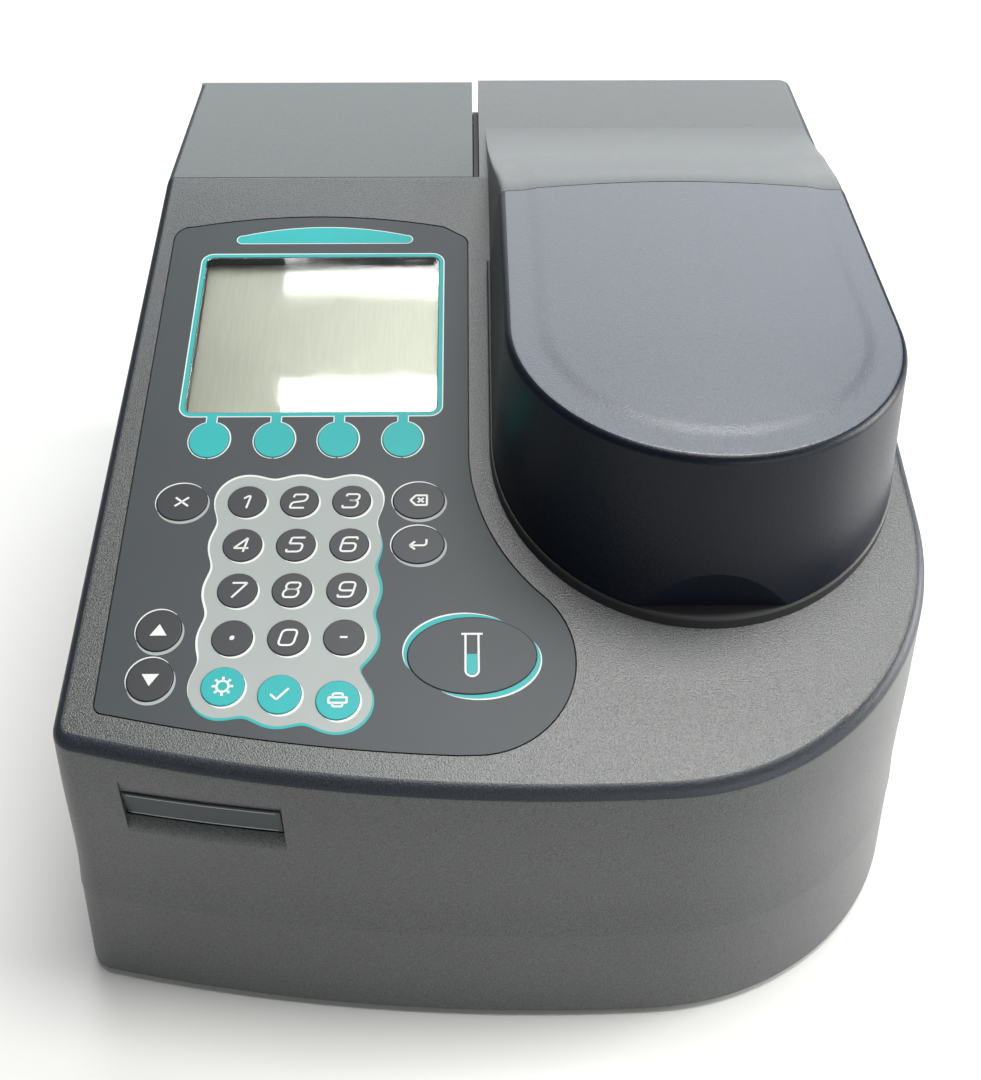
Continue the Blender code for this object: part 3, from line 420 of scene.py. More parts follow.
def lid_plane(y):
    return LID_EDGE_Z + (y - LID_EDGE_Y) * slope(LID_SLOPE)


def ease(share):
    share = min(max(share, 0.0), 1.0)
    return share * share * (3 - 2 * share)


def bump_height(y):
    if y <= LID_EDGE_Y:
        return lid_plane(y)
    share = ease((y - LID_EDGE_Y) / (COWL_END_Y - LID_EDGE_Y))
    return (1 - share) * LID_EDGE_Z + share * deck_height(y)


def crown(inset):
    """Height of the top over its edge: a nearly flat band, a soft step, then a shallow dome."""
    band = 0.35 * min(max(inset - LID_RIM, 0.0) / (BAND_END - LID_RIM), 1.0)
    step = (DOME_RISE - 0.35) * ease((inset - BAND_END) / (DOME_START - BAND_END))
    reach = max(inset - DOME_START, 0.0) / (BUMP_TOP[0] - DOME_START)
    return band + step + (CROWN_TOP - DOME_RISE) * (1 - (1 - min(reach, 1.0)) ** 1.8)


def crown_insets():
    """Distances inside the top's edge at which the crown is sampled."""
    step = [BAND_END + (DOME_START - BAND_END) * k / 6 for k in range(7)]
    return [LID_RIM, 5.5, 8.0] + step + [19.5, 23, 29, 35, 43, 52, 60, 66]


def top_profile():
    """Section from the bump's wall over its rounded rim and its crown, as inset and rise."""
    turns = [math.radians(9 * k) for k in range(10)]
    rim = [(LID_RIM * (1 - math.cos(t)), LID_RIM * (math.sin(t) - 1)) for t in turns]
    return rim + [(inset, crown(inset)) for inset in crown_insets()]


def waist(z):
    """Depth of the shallow waist, whose lower end overhangs the band below it by a fine ledge."""
    if z < WAIST_Z:
        return WAIST_LEDGE * max(z - HOUSING_FOOT - 1, 0.0) / (WAIST_Z - HOUSING_FOOT - 1)
    if z < WAIST_DEEPEST_Z:
        share = max(z - WAIST_Z, 0.0) / (WAIST_DEEPEST_Z - WAIST_Z)
        return WAIST_DEPTH * math.sin(share * math.pi / 2)
    return WAIST_DEPTH * (1 - ease((z - WAIST_DEEPEST_Z) / (WAIST_END_Z - WAIST_DEEPEST_Z)))


def waist_share(x):
    """How much of the waist's depth is left at a place along the front: it fades towards both sides."""
    return 1 - WAIST_FADE * (ease((x - 20) / 130) + ease((-138 - x) / 20))


def bow_centre():
    lean = math.radians(BOW_END_ANGLE)
    reach = BOW_RADIUS - CORNER_RADIUS
    return CORNER_CENTRE[0] - reach * math.cos(lean), CORNER_CENTRE[1] - reach * math.sin(lean)


def housing_outline(inset, fine=1.0):
    centre = bow_centre()
    bow, corner = BOW_RADIUS - inset, CORNER_RADIUS - inset
    left = max(LEFT_CORNER_RADIUS - inset / 2, 3.0)
    left_x = inset - HALF_WIDTH + left
    left_y = centre[1] - math.sqrt((bow - left) ** 2 - (left_x - centre[0]) ** 2)
    meet = 360 + math.degrees(math.atan2(left_y - centre[1], left_x - centre[0]))
    rear, side = REAR_CORNER_RADIUS, HALF_WIDTH - inset - REAR_CORNER_RADIUS
    return (
        arc((left_x, left_y), left, 180, meet, int(10 * fine))
        + arc(centre, bow, meet, BOW_END_ANGLE, int(20 * fine))[1:-1]
        + arc(CORNER_CENTRE, corner, BOW_END_ANGLE, 360, int(36 * fine))
        + arc((side, HALF_DEPTH - rear), rear, 0, 90, int(6 * fine))
        + arc((-side, HALF_DEPTH - rear), rear, 90, 180, int(6 * fine))
    )


def housing_solid(name, inside, bottom, rear_inside=0.0, rim=0.0):
    """Solid of the housing's shape, `inside` mm inside its outer faces, with its rim rounded if asked."""
    levels, fine = [bottom, 240.0], 0.5
    if rim:
        rise = [WAIST_Z + (WAIST_DEEPEST_Z - WAIST_Z) * k / 5 for k in range(6)]
        fall = [WAIST_DEEPEST_Z + (WAIST_END_Z - WAIST_DEEPEST_Z) * k / 6 for k in range(1, 7)]
        levels, fine = [bottom, bottom + 1.0, WAIST_Z - 0.25] + rise + fall + [240.0], 1.0
    rings = []
    for z in levels:
        inset = DRAFT * z + inside + (0.8 if rim and z == bottom else 0.0)
        plain = housing_outline(inset, fine)
        waisted = housing_outline(inset + (waist(z) if rim else 0.0), fine)
        ring = []
        for one, other in zip(plain, waisted):
            x, y = (a + (b - a) * waist_share(one[0]) for a, b in zip(one, other))
            ring.append((x, min(y, HALF_DEPTH - rear_inside), z))
        rings.append(ring)
    item = loft(name, rings)
    for angle, point in ((DECK_SLOPE, DECK_FRONT), (REAR_SLOPE, (BREAK_Y, deck_height(BREAK_Y)))):
        turn = math.radians(angle)
        normal = Vector((0, -math.sin(turn), math.cos(turn)))
        slice_off(item, Vector((0, point[0], point[1])) - normal * inside, normal)
    if rim:
        round_edges(item, rim, 6, is_rim)
    return item


def bump_plan(inset, rear, share=0.0, steps=64):
    half = BUMP_FOOT[0] + (BUMP_TOP[0] - BUMP_FOOT[0]) * share - inset
    reach = BUMP_FOOT[1] + (BUMP_TOP[1] - BUMP_FOOT[1]) * share - inset
    front = arc((BUMP_X, BUMP_Y), (half, reach), 180, 360, steps)
    return [(BUMP_X - half, rear)] + front + [(BUMP_X + half, rear)]


def bump_ring(inset, height, rear, steps):
    points = []
    for k, (x, y) in enumerate(bump_plan(inset, rear, 0.0, steps)):
        share = (height(y) - deck_height(y)) / (lid_plane(y) - deck_height(y))
        x, y = bump_plan(inset, rear, min(max(share, 0.0), 1.0), steps)[k]
        points.append((x, y, height(y)))
    return points


def dome(name, rear, wall, lift, steps=64):
    """Solid of the lid in front of `rear`, `wall` mm inside its skin, with its foot `lift` over the deck."""
    def foot(y):
        return deck_height(y) + lift

    def shoulder(y):
        return lid_plane(y) - wall - LID_RIM

    profile = []
    for inset, rise in ((0.7, 0.0), (0.2, 0.25), (0.0, 0.8)):
        profile.append((wall + inset, lambda y, rise=rise: foot(y) + rise))
    for part in (0.2, 0.4, 0.6, 0.8):
        profile.append((wall, lambda y, part=part: (1 - part) * foot(y) + part * shoulder(y)))
    for inset, rise in top_profile():
        profile.append((wall + inset, lambda y, rise=rise: lid_plane(y) - wall + rise))
    build = bmesh.new()
    rings = []
    for inset, height in profile:
        rings.append([build.verts.new(point) for point in bump_ring(inset, height, rear, steps)])
    for lower, upper in zip(rings, rings[1:]):
        for k in range(len(lower) - 1):
            build.faces.new((lower[k], lower[k + 1], upper[k + 1], upper[k]))
    build.faces.new(rings[-1])
    build.faces.new(rings[0])
    build.faces.new([ring[0] for ring in rings] + [ring[-1] for ring in reversed(rings)])
    return new_object(name, build)


def cowl_solid(name, start, wall, sink):
    """Solid of the cowl behind the lid, as cross sections from its front to where it meets the deck."""
    count = 30
    full = bump_height(LID_EDGE_Y) - deck_height(LID_EDGE_Y)
    foot = BUMP_FOOT[0] - wall
    rings = []
    for k in range(count + 1):
        y = start + (COWL_END_Y - start) * k / count
        top = bump_height(y) - wall - COWL_DROP
        share = min((bump_height(y) - deck_height(y)) / full, 1.0)
        edge = foot + (BUMP_TOP[0] - BUMP_FOOT[0]) * share
        right = [(foot, deck_height(y) - sink)]
        right += [(edge - inset, top + rise * share) for inset, rise in top_profile()]
        section = right + [(0.0, top + CROWN_TOP * share)] + [(-x, z) for x, z in reversed(right)]
        rings.append([(BUMP_X + x, y, z) for x, z in section])
    return loft(name, rings)


def lid_axis():
    return LID_AXIS_Y, bump_height(LID_AXIS_Y) - LID_AXIS_DROP


def cover_axis():
    return COVER_AXIS_Y, deck_height(COVER_AXIS_Y) - COVER_NOSE


def spindle(name, extra):
    """Round bar on the lid's hinge axis whose radius follows the crown, so that the seam stays narrow."""
    edge = BUMP_TOP[0]
    inner = [0.0] + crown_insets()
    rings = []
    for x in [-edge - 12] + [d - edge for d in inner] + [edge - d for d in reversed(inner)] + [edge + 12]:
        rise = LID_AXIS_DROP + crown(edge - abs(x)) + 0.46
        radius = math.hypot(SEAM_BEHIND_AXIS, rise) + extra
        rings.append([(BUMP_X + x, y, z) for y, z in oval(lid_axis(), radius, 72)])
    return loft(name, rings)


def panel_frame():
    return tilted((0, *DECK_FRONT), DECK_SLOPE)


def on_panel(item):
    item.matrix_world = panel_frame()
    return item


def up_slope(y):
    return (y - DECK_FRONT[0]) / math.cos(math.radians(DECK_SLOPE))


def overlay_outline(grow):
    """Outline in U and V, going round the top, the lid, the oval key and the front edge."""
    plan = arc((-135.6, 57.0), 8.0 + grow, 180, 105, 8)
    plan += arc((-81.3, -178.0), 248.8 + grow, 102.5, 77.0, 24)
    plan += arc((-20.6, 54.0), 6.0 + grow, 65, 0, 8)
    plan += arc((BUMP_X, BUMP_Y), (85.7 - grow, 88.1 - grow), 180, 226.2, 24)
    plan += arc((-12.5, -145.5), 35.3 + grow, 46.5, -92, 32)
    plan += arc((14.0, 536.0), 717.6 + grow, 267.4, 257.9, 16)
    plan += arc((-139.6, -161.0), 4.0 + grow, 257, 180, 6)
    return [(x, up_slope(y)) for x, y in reversed(plan)]


def window_outline(grow, radius):
    low_u, high_u, low_v, high_v = WINDOW
    return rectangle(low_u - grow, high_u + grow, low_v - grow, high_v + grow, radius)


def front_wall(x, z, offset):
    """Point on the bowed front wall at a height, moved inwards by an offset."""
    centre = bow_centre()
    radius = BOW_RADIUS - DRAFT * z - waist(z) - offset
    return x, centre[1] - math.sqrt(radius**2 - (x - centre[0]) ** 2), z


# ---------------- housing and covers


def lug(x_low, x_high, axis, radius, foot):
    stem = block("stem", (x_low, axis[0] - radius, foot), (x_high, axis[0] + radius, axis[1]))
    return join(stem, bar("head", axis, radius, x_low, x_high))


def housing_shell(finishes):
    """Casing; its second material paints the collar black as painted shade, and its third paints the rounded
    rim a darker grey as painted shade.
    """
    item = housing_solid("housing", 0.0, HOUSING_FOOT, rim=RIM_RADIUS)
    front_of_cowl = LID_AXIS_Y + 0.4
    join(item, cowl_solid("cowl", front_of_cowl, 0.0, 6.0))
    soften = 0.5
    rings = []
    for inset, rise in ((0.0, -1.5), (0.0, COLLAR_HEIGHT - soften), (soften, COLLAR_HEIGHT)):
        plan = bump_plan(inset - COLLAR_OUT, front_of_cowl + 4)
        rings.append([(x, y, deck_height(y) + rise) for x, y in plan])
    join(item, loft("collar", rings))
    cut(item, housing_solid("inside", WALL, -5.0, rear_inside=WALL))
    cut(item, cowl_solid("cowl_inside", front_of_cowl - 4, LID_WALL, 0.6))
    cut(item, spindle("lid_sweep", 0.35))
    cut(item, prism("well", bump_plan(WELL_IN, WELL_REAR_Y), 90, 260))
    for x in (18.0, 118.2):
        join(item, lug(x, x + 6, lid_axis(), LID_LUG_RADIUS, deck_height(LID_AXIS_Y) - 1))
    cut(item, bar("bore", lid_axis(), PIN_BORE, 0, 142, 24))
    cut(item, on_panel(prism("recess", overlay_outline(0.0), -PANEL_RECESS, 20)))
    cut(item, on_panel(prism("hole", window_outline(1, 2.5), -10, 5)))
    key_area = [(-135.5, 12.5), (-22, 2.5), (-22, 138), (-135.5, 138)]
    cut(item, on_panel(prism("hole", key_area, -20, 5)))
    cut(item, on_panel(prism("hole", oval(OVAL_KEY, (23.6, 16.2)), -20, 5)))
    cut(item, badge_recess())
    cut(item, block("corner", (-200, BAY_FRONT_Y, BAY_LEDGE_Z), (BAY_RIGHT_X, 230, 260)))
    axis = cover_axis()
    for x in COVER_LUGS:
        join(item, block("root", (x, axis[0] - 1, 176), (x + LUG_WIDTH, 202, 189)))
        join(item, lug(x, x + LUG_WIDTH, axis, COVER_LUG_RADIUS, 176))
    cut(item, bar("bore", axis, PIN_BORE, -149, -20, 24))
    cut(item, block("rear_opening", (-140, 199, 12), (140, 210, 150)))
    piece(item, "housing_shell", finishes, ["upper_housing"])
    for face in item.data.polygons:
        x, y, z = face.center / MM
        rise = z - deck_height(y)
        across, ahead = (x - BUMP_X) / (BUMP_FOOT[0] + 1), (min(y, BUMP_Y) - BUMP_Y) / (BUMP_FOOT[1] + 1)
        reach = math.hypot(across, ahead)
        # painted shade: the collar is part of the grey moulding but is painted black plastic
        if 0.1 < rise < COLLAR_HEIGHT + 0.1 and reach < 1 and y < LID_AXIS_Y:
            face.material_index = 1
        # painted shade: the faces of the rounded rim take the darker rim copy of the grey
        elif is_rim_face(face):
            face.material_index = 2


def is_rim_face(face):
    """Whether a face lies on the rounded edge between the walls and the top."""
    rise = face.center.z / MM - deck_height(face.center.y / MM)
    return -RIM_RADIUS < rise < 0.0 and 0.35 < face.normal.z < 0.93


def badge_depth(z):
    """Depth of the badge recess: a wedge that deepens downwards, then runs out softly to the wall."""
    low, high = BADGE_Z
    turn, deepest = 94.0, 3.0
    if z > turn:
        return deepest * (high - z) / (high - turn)
    return deepest * (max(z - low, 0.0) / (turn - low)) ** 1.7


def wall_slab(name, low_x, high_x, levels, outer, inner):
    """Slab that follows the front wall between two depths, each a function of height."""
    across = [low_x + (high_x - low_x) * k / 16 for k in range(17)]
    rings = []
    for z in levels:
        ring = [front_wall(x, z, outer(z)) for x in across]
        rings.append(ring + [front_wall(x, z, inner(z)) for x in reversed(across)])
    return loft(name, rings)


def badge_recess():
    low, high = BADGE_Z
    levels = [low + 0.4 + 6.6 * k / 8 for k in range(9)] + [high - 0.05]
    return wall_slab("badge_recess", *BADGE_X, levels, lambda z: -4.0, badge_depth)


def badge_plate(film, edge):
    low, high = BADGE_PLATE_Z

    def face(z):
        return badge_depth(z) - (0.75 if low < z < high else 0.5)

    def back(z):
        return badge_depth(z) + 0.15

    levels = [low, low + 0.4, high - 0.4, high]
    item = wall_slab("plate", BADGE_X[0] + 0.8, BADGE_X[1] - 0.8, levels, face, back)
    piece(item, "badge_face", [film], ["badge_plate"])
    lines = bmesh.new()
    across = [BADGE_X[0] + 2 + 52.0 * k / 16 for k in range(17)]
    for z in (low + 0.9, high - 1.1):
        edges = [[front_wall(x, z + rise, badge_depth(z) - 0.85) for x in across] for rise in (0.0, 0.35)]
        skin(lines, [[a, b, (b[0], b[1] + 0.4, b[2]), (a[0], a[1] + 0.4, a[2])] for a, b in zip(*edges)])
    piece(new_object("lines", lines), "badge_border", [edge])


def lid_shell(finish, wall_shade):
    rear = 60.0
    item = dome("lid", rear, 0.0, LID_LIFT)
    hollow = dome("hollow", rear + 5, LID_WALL, -12.0, 40)
    cut(hollow, block("grip_pad", (38, -140, 100), (106, -121, 162)))
    cut(item, hollow)
    axis = lid_axis()
    behind = block("behind", (-20, axis[0], 130), (160, 90, 260))
    cut(item, cut(behind, spindle("nose", 0.0)))
    scoop = block("scoop", (-40, -30, -12), (40, 0, 40))
    scoop.matrix_world = tilted((72.5, SCOOP_Y, deck_height(-131.0) + LID_LIFT), SCOOP_LEAN)
    cut(item, scoop)
    for x in (11.0, 126.0):
        web = block("web", (x, axis[0] - 4, axis[1]), (x + 6, axis[0] + 4, axis[1] + 4.6))
        join(item, join(bar("ear", axis, 4.4, x, x + 6), web))
    cut(item, bar("bore", axis, PIN_BORE, 5, 138, 24))
    piece(item, "lid_shell", [finish, wall_shade], ["sample_lid"], "lid", 12)
    # painted shade: every face of the lid but its top takes the dark wall copy
    for face in item.data.polygons:
        if face.normal.z < 0.95:
            face.material_index = 1


def bay_cover(finish, rim_shade):
    item = housing_solid("cover", 0.0, HOUSING_FOOT, rim=RIM_RADIUS)
    slice_off(item, (COVER_RIGHT_X, 0, 0), (1, 0, 0))
    slice_off(item, (0, BAY_FRONT_Y + COVER_GAP, 0), (0, -1, 0))
    slice_off(item, (0, 0, BAY_LEDGE_Z + COVER_GAP + 0.3), (0, 0, -1))
    round_edges(item, 0.5, 3, lambda one, other: max(one.z, other.z) > 0.9 and min(one.y, other.y) < -0.9)
    plan = rectangle(-148.6, COVER_RIGHT_X - 2.5, BAY_FRONT_Y + COVER_GAP + 2.5, 230)
    cut(item, loft("inside", [level(plan, 170), [(x, y, deck_height(y) - 2.5) for x, y in plan]]))
    axis = cover_axis()
    cut(item, block("behind", (-200, axis[0], 150), (0, 230, 250)))
    join(item, bar("nose", axis, COVER_NOSE, -150.5, COVER_RIGHT_X, 48))
    for x in COVER_LUGS:
        low_x, high_x = x - 1, x + LUG_WIDTH + 1
        pocket = bar("pocket", axis, COVER_LUG_RADIUS + 0.3, low_x, high_x)
        under = block("under", (low_x, axis[0] - 8, axis[1] - 10), (high_x, axis[0] + 8, axis[1] - 0.8))
        cut(item, join(pocket, under))
        for turn in (20, 40, 60, 76):
            swept = block("swept", (low_x, -3.4, -10), (high_x, 3.4, 0))
            swept.matrix_world = tilted((0, *axis), turn)
            cut(item, swept)
    cut(item, bar("bore", axis, PIN_BORE, -149, -20, 24))
    piece(item, "bay_cover_shell", [finish, rim_shade], ["printer_cover"], "bay_cover")
    # painted shade: the cover's left rim takes the darker rim copy of its grey
    for face in item.data.polygons:
        if is_rim_face(face) and face.normal.x < -0.3:
            face.material_index = 1


# ---------------- lines and marks


def ribbon(build, left, right, low, high, closed=False, material=0):
    """Flat band between two edges in U and V, from one height to another."""
    rows = []
    for a, b in zip(left, right):
        rows.append([build.verts.new((*p, z)) for p, z in ((a, low), (a, high), (b, high), (b, low))])
    made = []
    for k in range(len(rows) if closed else len(rows) - 1):
        one, two = rows[k], rows[(k + 1) % len(rows)]
        for i in range(4):
            j = (i + 1) % 4
            made.append(build.faces.new((one[i], one[j], two[j], two[i])))
    if not closed:
        made += [build.faces.new(rows[0]), build.faces.new(rows[-1][::-1])]
    for face in made:
        face.material_index = material


def slab(build, outline, low, high, material=0):
    skin(build, [level(outline, low), level(outline, high)], material)


def rounded(points, radius, closed=False):
    """Line through points with its corners rounded."""
    corners = [Vector(p) for p in points]
    count = len(corners)
    path = [] if closed else [corners[0]]
    for k in range(count) if closed else range(1, count - 1):
        before, here, after = corners[k - 1], corners[k], corners[(k + 1) % count]
        reach = min(radius, (here - before).length / 2, (after - here).length / 2)
        start, end = here + (before - here).normalized() * reach, here + (after - here).normalized() * reach
        for i in range(6):
            t = i / 5
            path.append(start * (1 - t) ** 2 + here * 2 * t * (1 - t) + end * t * t)
    return path if closed else path + [corners[-1]]


def ink(build, points, width, closed=False, high=INK):
    """White line of even width on a key's face."""
    path = [Vector(p) for p in points]
    count = len(path)
    left, right = [], []
    for k in range(count):
        before = path[k - 1] if closed or k else path[k]
        after = path[(k + 1) % count] if closed or k < count - 1 else path[k]
        side = (after - before).normalized()
        side = Vector((-side.y, side.x)) * width / 2
        left.append(path[k] + side)
        right.append(path[k] - side)
    ribbon(build, left, right, KEY_TOP - 0.02, KEY_TOP + high, closed, 1)


def crescent(build, centre, radii, start, end, thick, low, high, floor=0.12):
    """Band outside an oval that is thickest half way along and thin at both ends."""
    steps = 36
    inner, outer = [], []
    for k in range(steps + 1):
        turn = math.radians(start + (end - start) * k / steps)
        grow = floor + (thick - floor) * math.sin(math.pi * k / steps) ** 0.8
        for edge, extra in ((inner, 0.0), (outer, grow)):
            across, up = grown(radii, extra)
            edge.append((centre[0] + across * math.cos(turn), centre[1] + up * math.sin(turn)))
    ribbon(build, inner, outer, low, high)


# Lines of each sign, in shares of its width and height. The closed ones are in LOOPS.
DIGITS = {
    "1": [[(0.2, 0.72), (0.62, 1), (0.62, 0)]],
    "2": [[(0.02, 0.78), (0.02, 1), (0.98, 1), (0.98, 0.52), (0, 0.40), (0, 0)],
          [(0, 0), (1, 0)]],
    "3": [[(0.05, 0.84), (0.05, 1), (0.97, 1), (0.97, 0.53), (0.35, 0.53)],
          [(0.35, 0.53), (1, 0.53), (1, 0), (0, 0), (0, 0.18)]],
    "4": [[(0.72, 0), (0.72, 1)], [(0.72, 1), (0, 0.27)], [(0, 0.27), (1, 0.27)]],
    "5": [[(1, 1), (0.1, 1)], [(0.1, 1), (0.05, 0.58)],
          [(0.05, 0.58), (1, 0.58), (1, 0), (0, 0), (0, 0.18)]],
    "6": [[(0.95, 0.84), (0.95, 1), (0, 1), (0, 0), (1, 0), (1, 0.57), (0.02, 0.57)]],
    "7": [[(0, 1), (1, 1)], [(1, 1), (0.3, 0)]],
    "9": [[(0.05, 0.16), (0.05, 0), (1, 0), (1, 1), (0, 1), (0, 0.43), (0.98, 0.43)]],
    "minus": [[(0.25, 0.5), (0.75, 0.5)]],
}
LOOPS = {
    "0": [[(0, 0), (1, 0), (1, 1), (0, 1)]],
    "8": [[(0.04, 0.54), (0.96, 0.54), (0.96, 1), (0.04, 1)], [(0, 0), (1, 0), (1, 0.54), (0, 0.54)]],
    "point": [[(0.42, 0.42), (0.58, 0.42), (0.58, 0.58), (0.42, 0.58)]],
    "clear": [[(0, 0.5), (0.32, 0.95), (1, 0.95), (1, 0.05), (0.32, 0.05)]],
    "print": [[(0, 0.28), (1, 0.28), (1, 0.7), (0, 0.7)]],
}
SIGNS = {
    "esc": [[(0.1, 0.1), (0.9, 0.9)], [(0.1, 0.9), (0.9, 0.1)]],
    "clear": [[(0.45, 0.3), (0.8, 0.7)], [(0.45, 0.7), (0.8, 0.3)]],
    "enter": [[(1, 0.95), (1, 0.4), (0.05, 0.4)],
              [(0.32, 0.75), (0, 0.4)], [(0, 0.4), (0.32, 0.05)]],
    "test": [[(0, 0.5), (0.35, 0.1)], [(0.35, 0.1), (1, 0.95)]],
    "print": [[(0.22, 0.7), (0.22, 1), (0.78, 1), (0.78, 0.7)],
              [(0.22, 0.28), (0.22, 0), (0.78, 0), (0.78, 0.28)]],
}


def mark(build, name, size, slant, width):
    """Draws a key's sign in white, centred on the key."""
    def place(point):
        u, v = (point[0] - 0.5) * size[0], (point[1] - 0.5) * size[1]
        return u + v * slant, v

    for points in {**DIGITS, **SIGNS}.get(name, []):
        ink(build, rounded([place(p) for p in points], size[1] * 0.26), width)
    corner = size[1] * (0.28 if len(name) == 1 else 0.06)
    for points in LOOPS.get(name, []):
        ink(build, rounded([place(p) for p in points], corner, closed=True), width, closed=True)


def gear(build):
    ink(build, oval((0, 0), 2.1, 32), 0.8, closed=True)
    for k in range(8):
        turn = math.radians(45 * k)
        way = Vector((math.cos(turn), math.sin(turn)))
        ink(build, [way * 2.3, way * 3.7], 0.9)


def test_tube(build):
    """Sample sign: an open tube with a lip, half full."""
    low, high, half, fill = -8.4, 8.5, 2.3, 0.4
    bowl = arc((0, low + half), half, 180, 360, 14)
    ink(build, [(-half, high)] + bowl + [(half, high)], 0.75)
    ink(build, [(-half - 1.5, high), (half + 1.5, high)], 0.8, high=INK + 0.02)
    liquid = [(half - 0.5, fill), (-half + 0.5, fill)]
    liquid += arc((0, low + half), half - 0.55, 180, 360, 12)
    slab(build, liquid, KEY_TOP - 0.02, KEY_TOP + INK, 2)


def key_table():
    """Every key: name, radii, centre in U and V, colour.

    The 4 soft keys come first, then 15 in the pale field, 5 beside it and the oval one.
    """
    keys = [(f"soft_{k + 1}", SOFT_RADII, (u, SOFT_V), "teal") for k, u in enumerate(SOFT_KEYS)]
    for k, name in enumerate(("1", "2", "3", "4", "5", "6", "7", "8", "9", "point", "0", "minus")):
        keys.append((name, DIGIT_RADII, (DIGIT_COLUMNS[k % 3], DIGIT_ROWS[k // 3]), "key"))
    keys += [(name, TEAL_RADII, place, "teal") for name, place in TEAL_KEYS.items()]
    keys += [
        ("esc", (9.5, 8.5), (-123.2, 98.3), "key"),
        ("clear", (9.7, 8.4), (-33.8, 98.4), "key"),
        ("enter", (9.7, 8.4), (-33.7, 78.3), "key"),
        ("up", (8.0, 8.4), (-124.7, 42.2), "key"),
        ("down", (8.0, 8.4), (-125.4, 22.7), "key"),
        ("sample", OVAL_RADII, OVAL_KEY, "film"),
    ]
    return keys


def key_holes(gap):
    """One cutter with a bar for every key."""
    build = bmesh.new()
    for _, radii, place, _ in key_table():
        slab(build, oval(place, grown(radii, gap)), -5, 5)
    return on_panel(new_object("holes", build))


def keys(paint):
    for name, radii, place, colour in key_table():
        build = bmesh.new()
        rings = [level(oval((0, 0), radii), -KEY_DEPTH)]
        for k in range(5):
            turn = math.radians(22.5 * k)
            inset, fall = KEY_EDGE * (1 - math.cos(turn)), KEY_EDGE * (1 - math.sin(turn))
            rings.append(level(oval((0, 0), grown(radii, -inset)), KEY_TOP - fall))
        skin(build, rings)
        if name in ("up", "down"):
            tip = 2.6 if name == "up" else -2.6
            slab(build, [(-3.0, -tip * 0.8), (3.0, -tip * 0.8), (0, tip)], KEY_TOP - 0.02, KEY_TOP + INK, 1)
        elif name == "sample":
            test_tube(build)
        elif name == "utility":
            gear(build)
        elif len(name) == 1 or name in ("point", "minus"):
            mark(build, name, (5.4, 6.2), 0.24, 0.78)
        else:
            mark(build, name, (6.2, 5.0), 0.0, 0.8)
        item = new_object("key", build)
        item.matrix_world = panel_frame() @ Matrix.Translation(Vector((*place, 0)) * MM)
        finishes = [paint[colour], paint["white"], paint["teal"]]
        piece(item, f"cap_{name}", finishes, [f"key_{name}"], f"key_{name}")


def overlay(film, seam_shade):
    seam = bmesh.new()
    # painted shade: a near black rubber band lies in the bottom of the groove round the film, over the
    # recess floor that is in shade there
    ribbon(seam, overlay_outline(-0.02), overlay_outline(-0.5), -PANEL_RECESS + 0.03, -1.1, closed=True)
    piece(on_panel(new_object("seam", seam)), "seam_painted_shade", [seam_shade])
    item = on_panel(prism("overlay", overlay_outline(-0.55), -PANEL_RECESS + 0.3, OVERLAY_TOP))
    cut(item, on_panel(prism("hole", window_outline(0, 3.0), -5, 5)), key_holes(KEY_GAP))
    return piece(item, "keypad_film", [film], ["keypad_overlay"])


def surround_reach(turn, extra=0.0):
    """Edge of the pale field that flows round the number keys, seen from its middle."""
    places = [(u, v) for v in DIGIT_ROWS for u in DIGIT_COLUMNS] + list(TEAL_KEYS.values())
    middle = (DIGIT_COLUMNS[1], 57.0)
    spread, edge = 8.8, 0.158
    low, high = 20.0, 75.0
    for _ in range(24):
        reach = (low + high) / 2
        u, v = middle[0] + reach * math.cos(turn), middle[1] + reach * math.sin(turn)
        field = sum(math.exp(-((u - a) ** 2 + (v - b) ** 2) / spread**2) for a, b in places)
        low, high = (reach, high) if field > edge else (low, reach)
    return middle[0] + (low + extra) * math.cos(turn), middle[1] + (low + extra) * math.sin(turn)


def surround_edge(build, start, end, thick, low, high):
    steps = 150
    inner, outer = [], []
    for k in range(steps + 1):
        turn = math.radians(start + (end - start) * k / steps)
        grow = 0.1 + (thick - 0.1) * min(1.0, 4 * math.sin(math.pi * k / steps))
        inner.append(surround_reach(turn))
        outer.append(surround_reach(turn, grow))
    ribbon(build, inner, outer, low, high)


def title_strip(grow):
    """Blank lens with a straight foot and rounded ends."""
    strip = arc((-77.4, 122.2), 125.0 + grow, 73.4, 106.6, 24)
    strip += arc((-113.2, 239.8), (2.4 + grow, 2.3 + grow), 102, 270, 8)
    return strip + arc((-41.6, 239.8), (2.4 + grow, 2.3 + grow), -90, 78, 8)


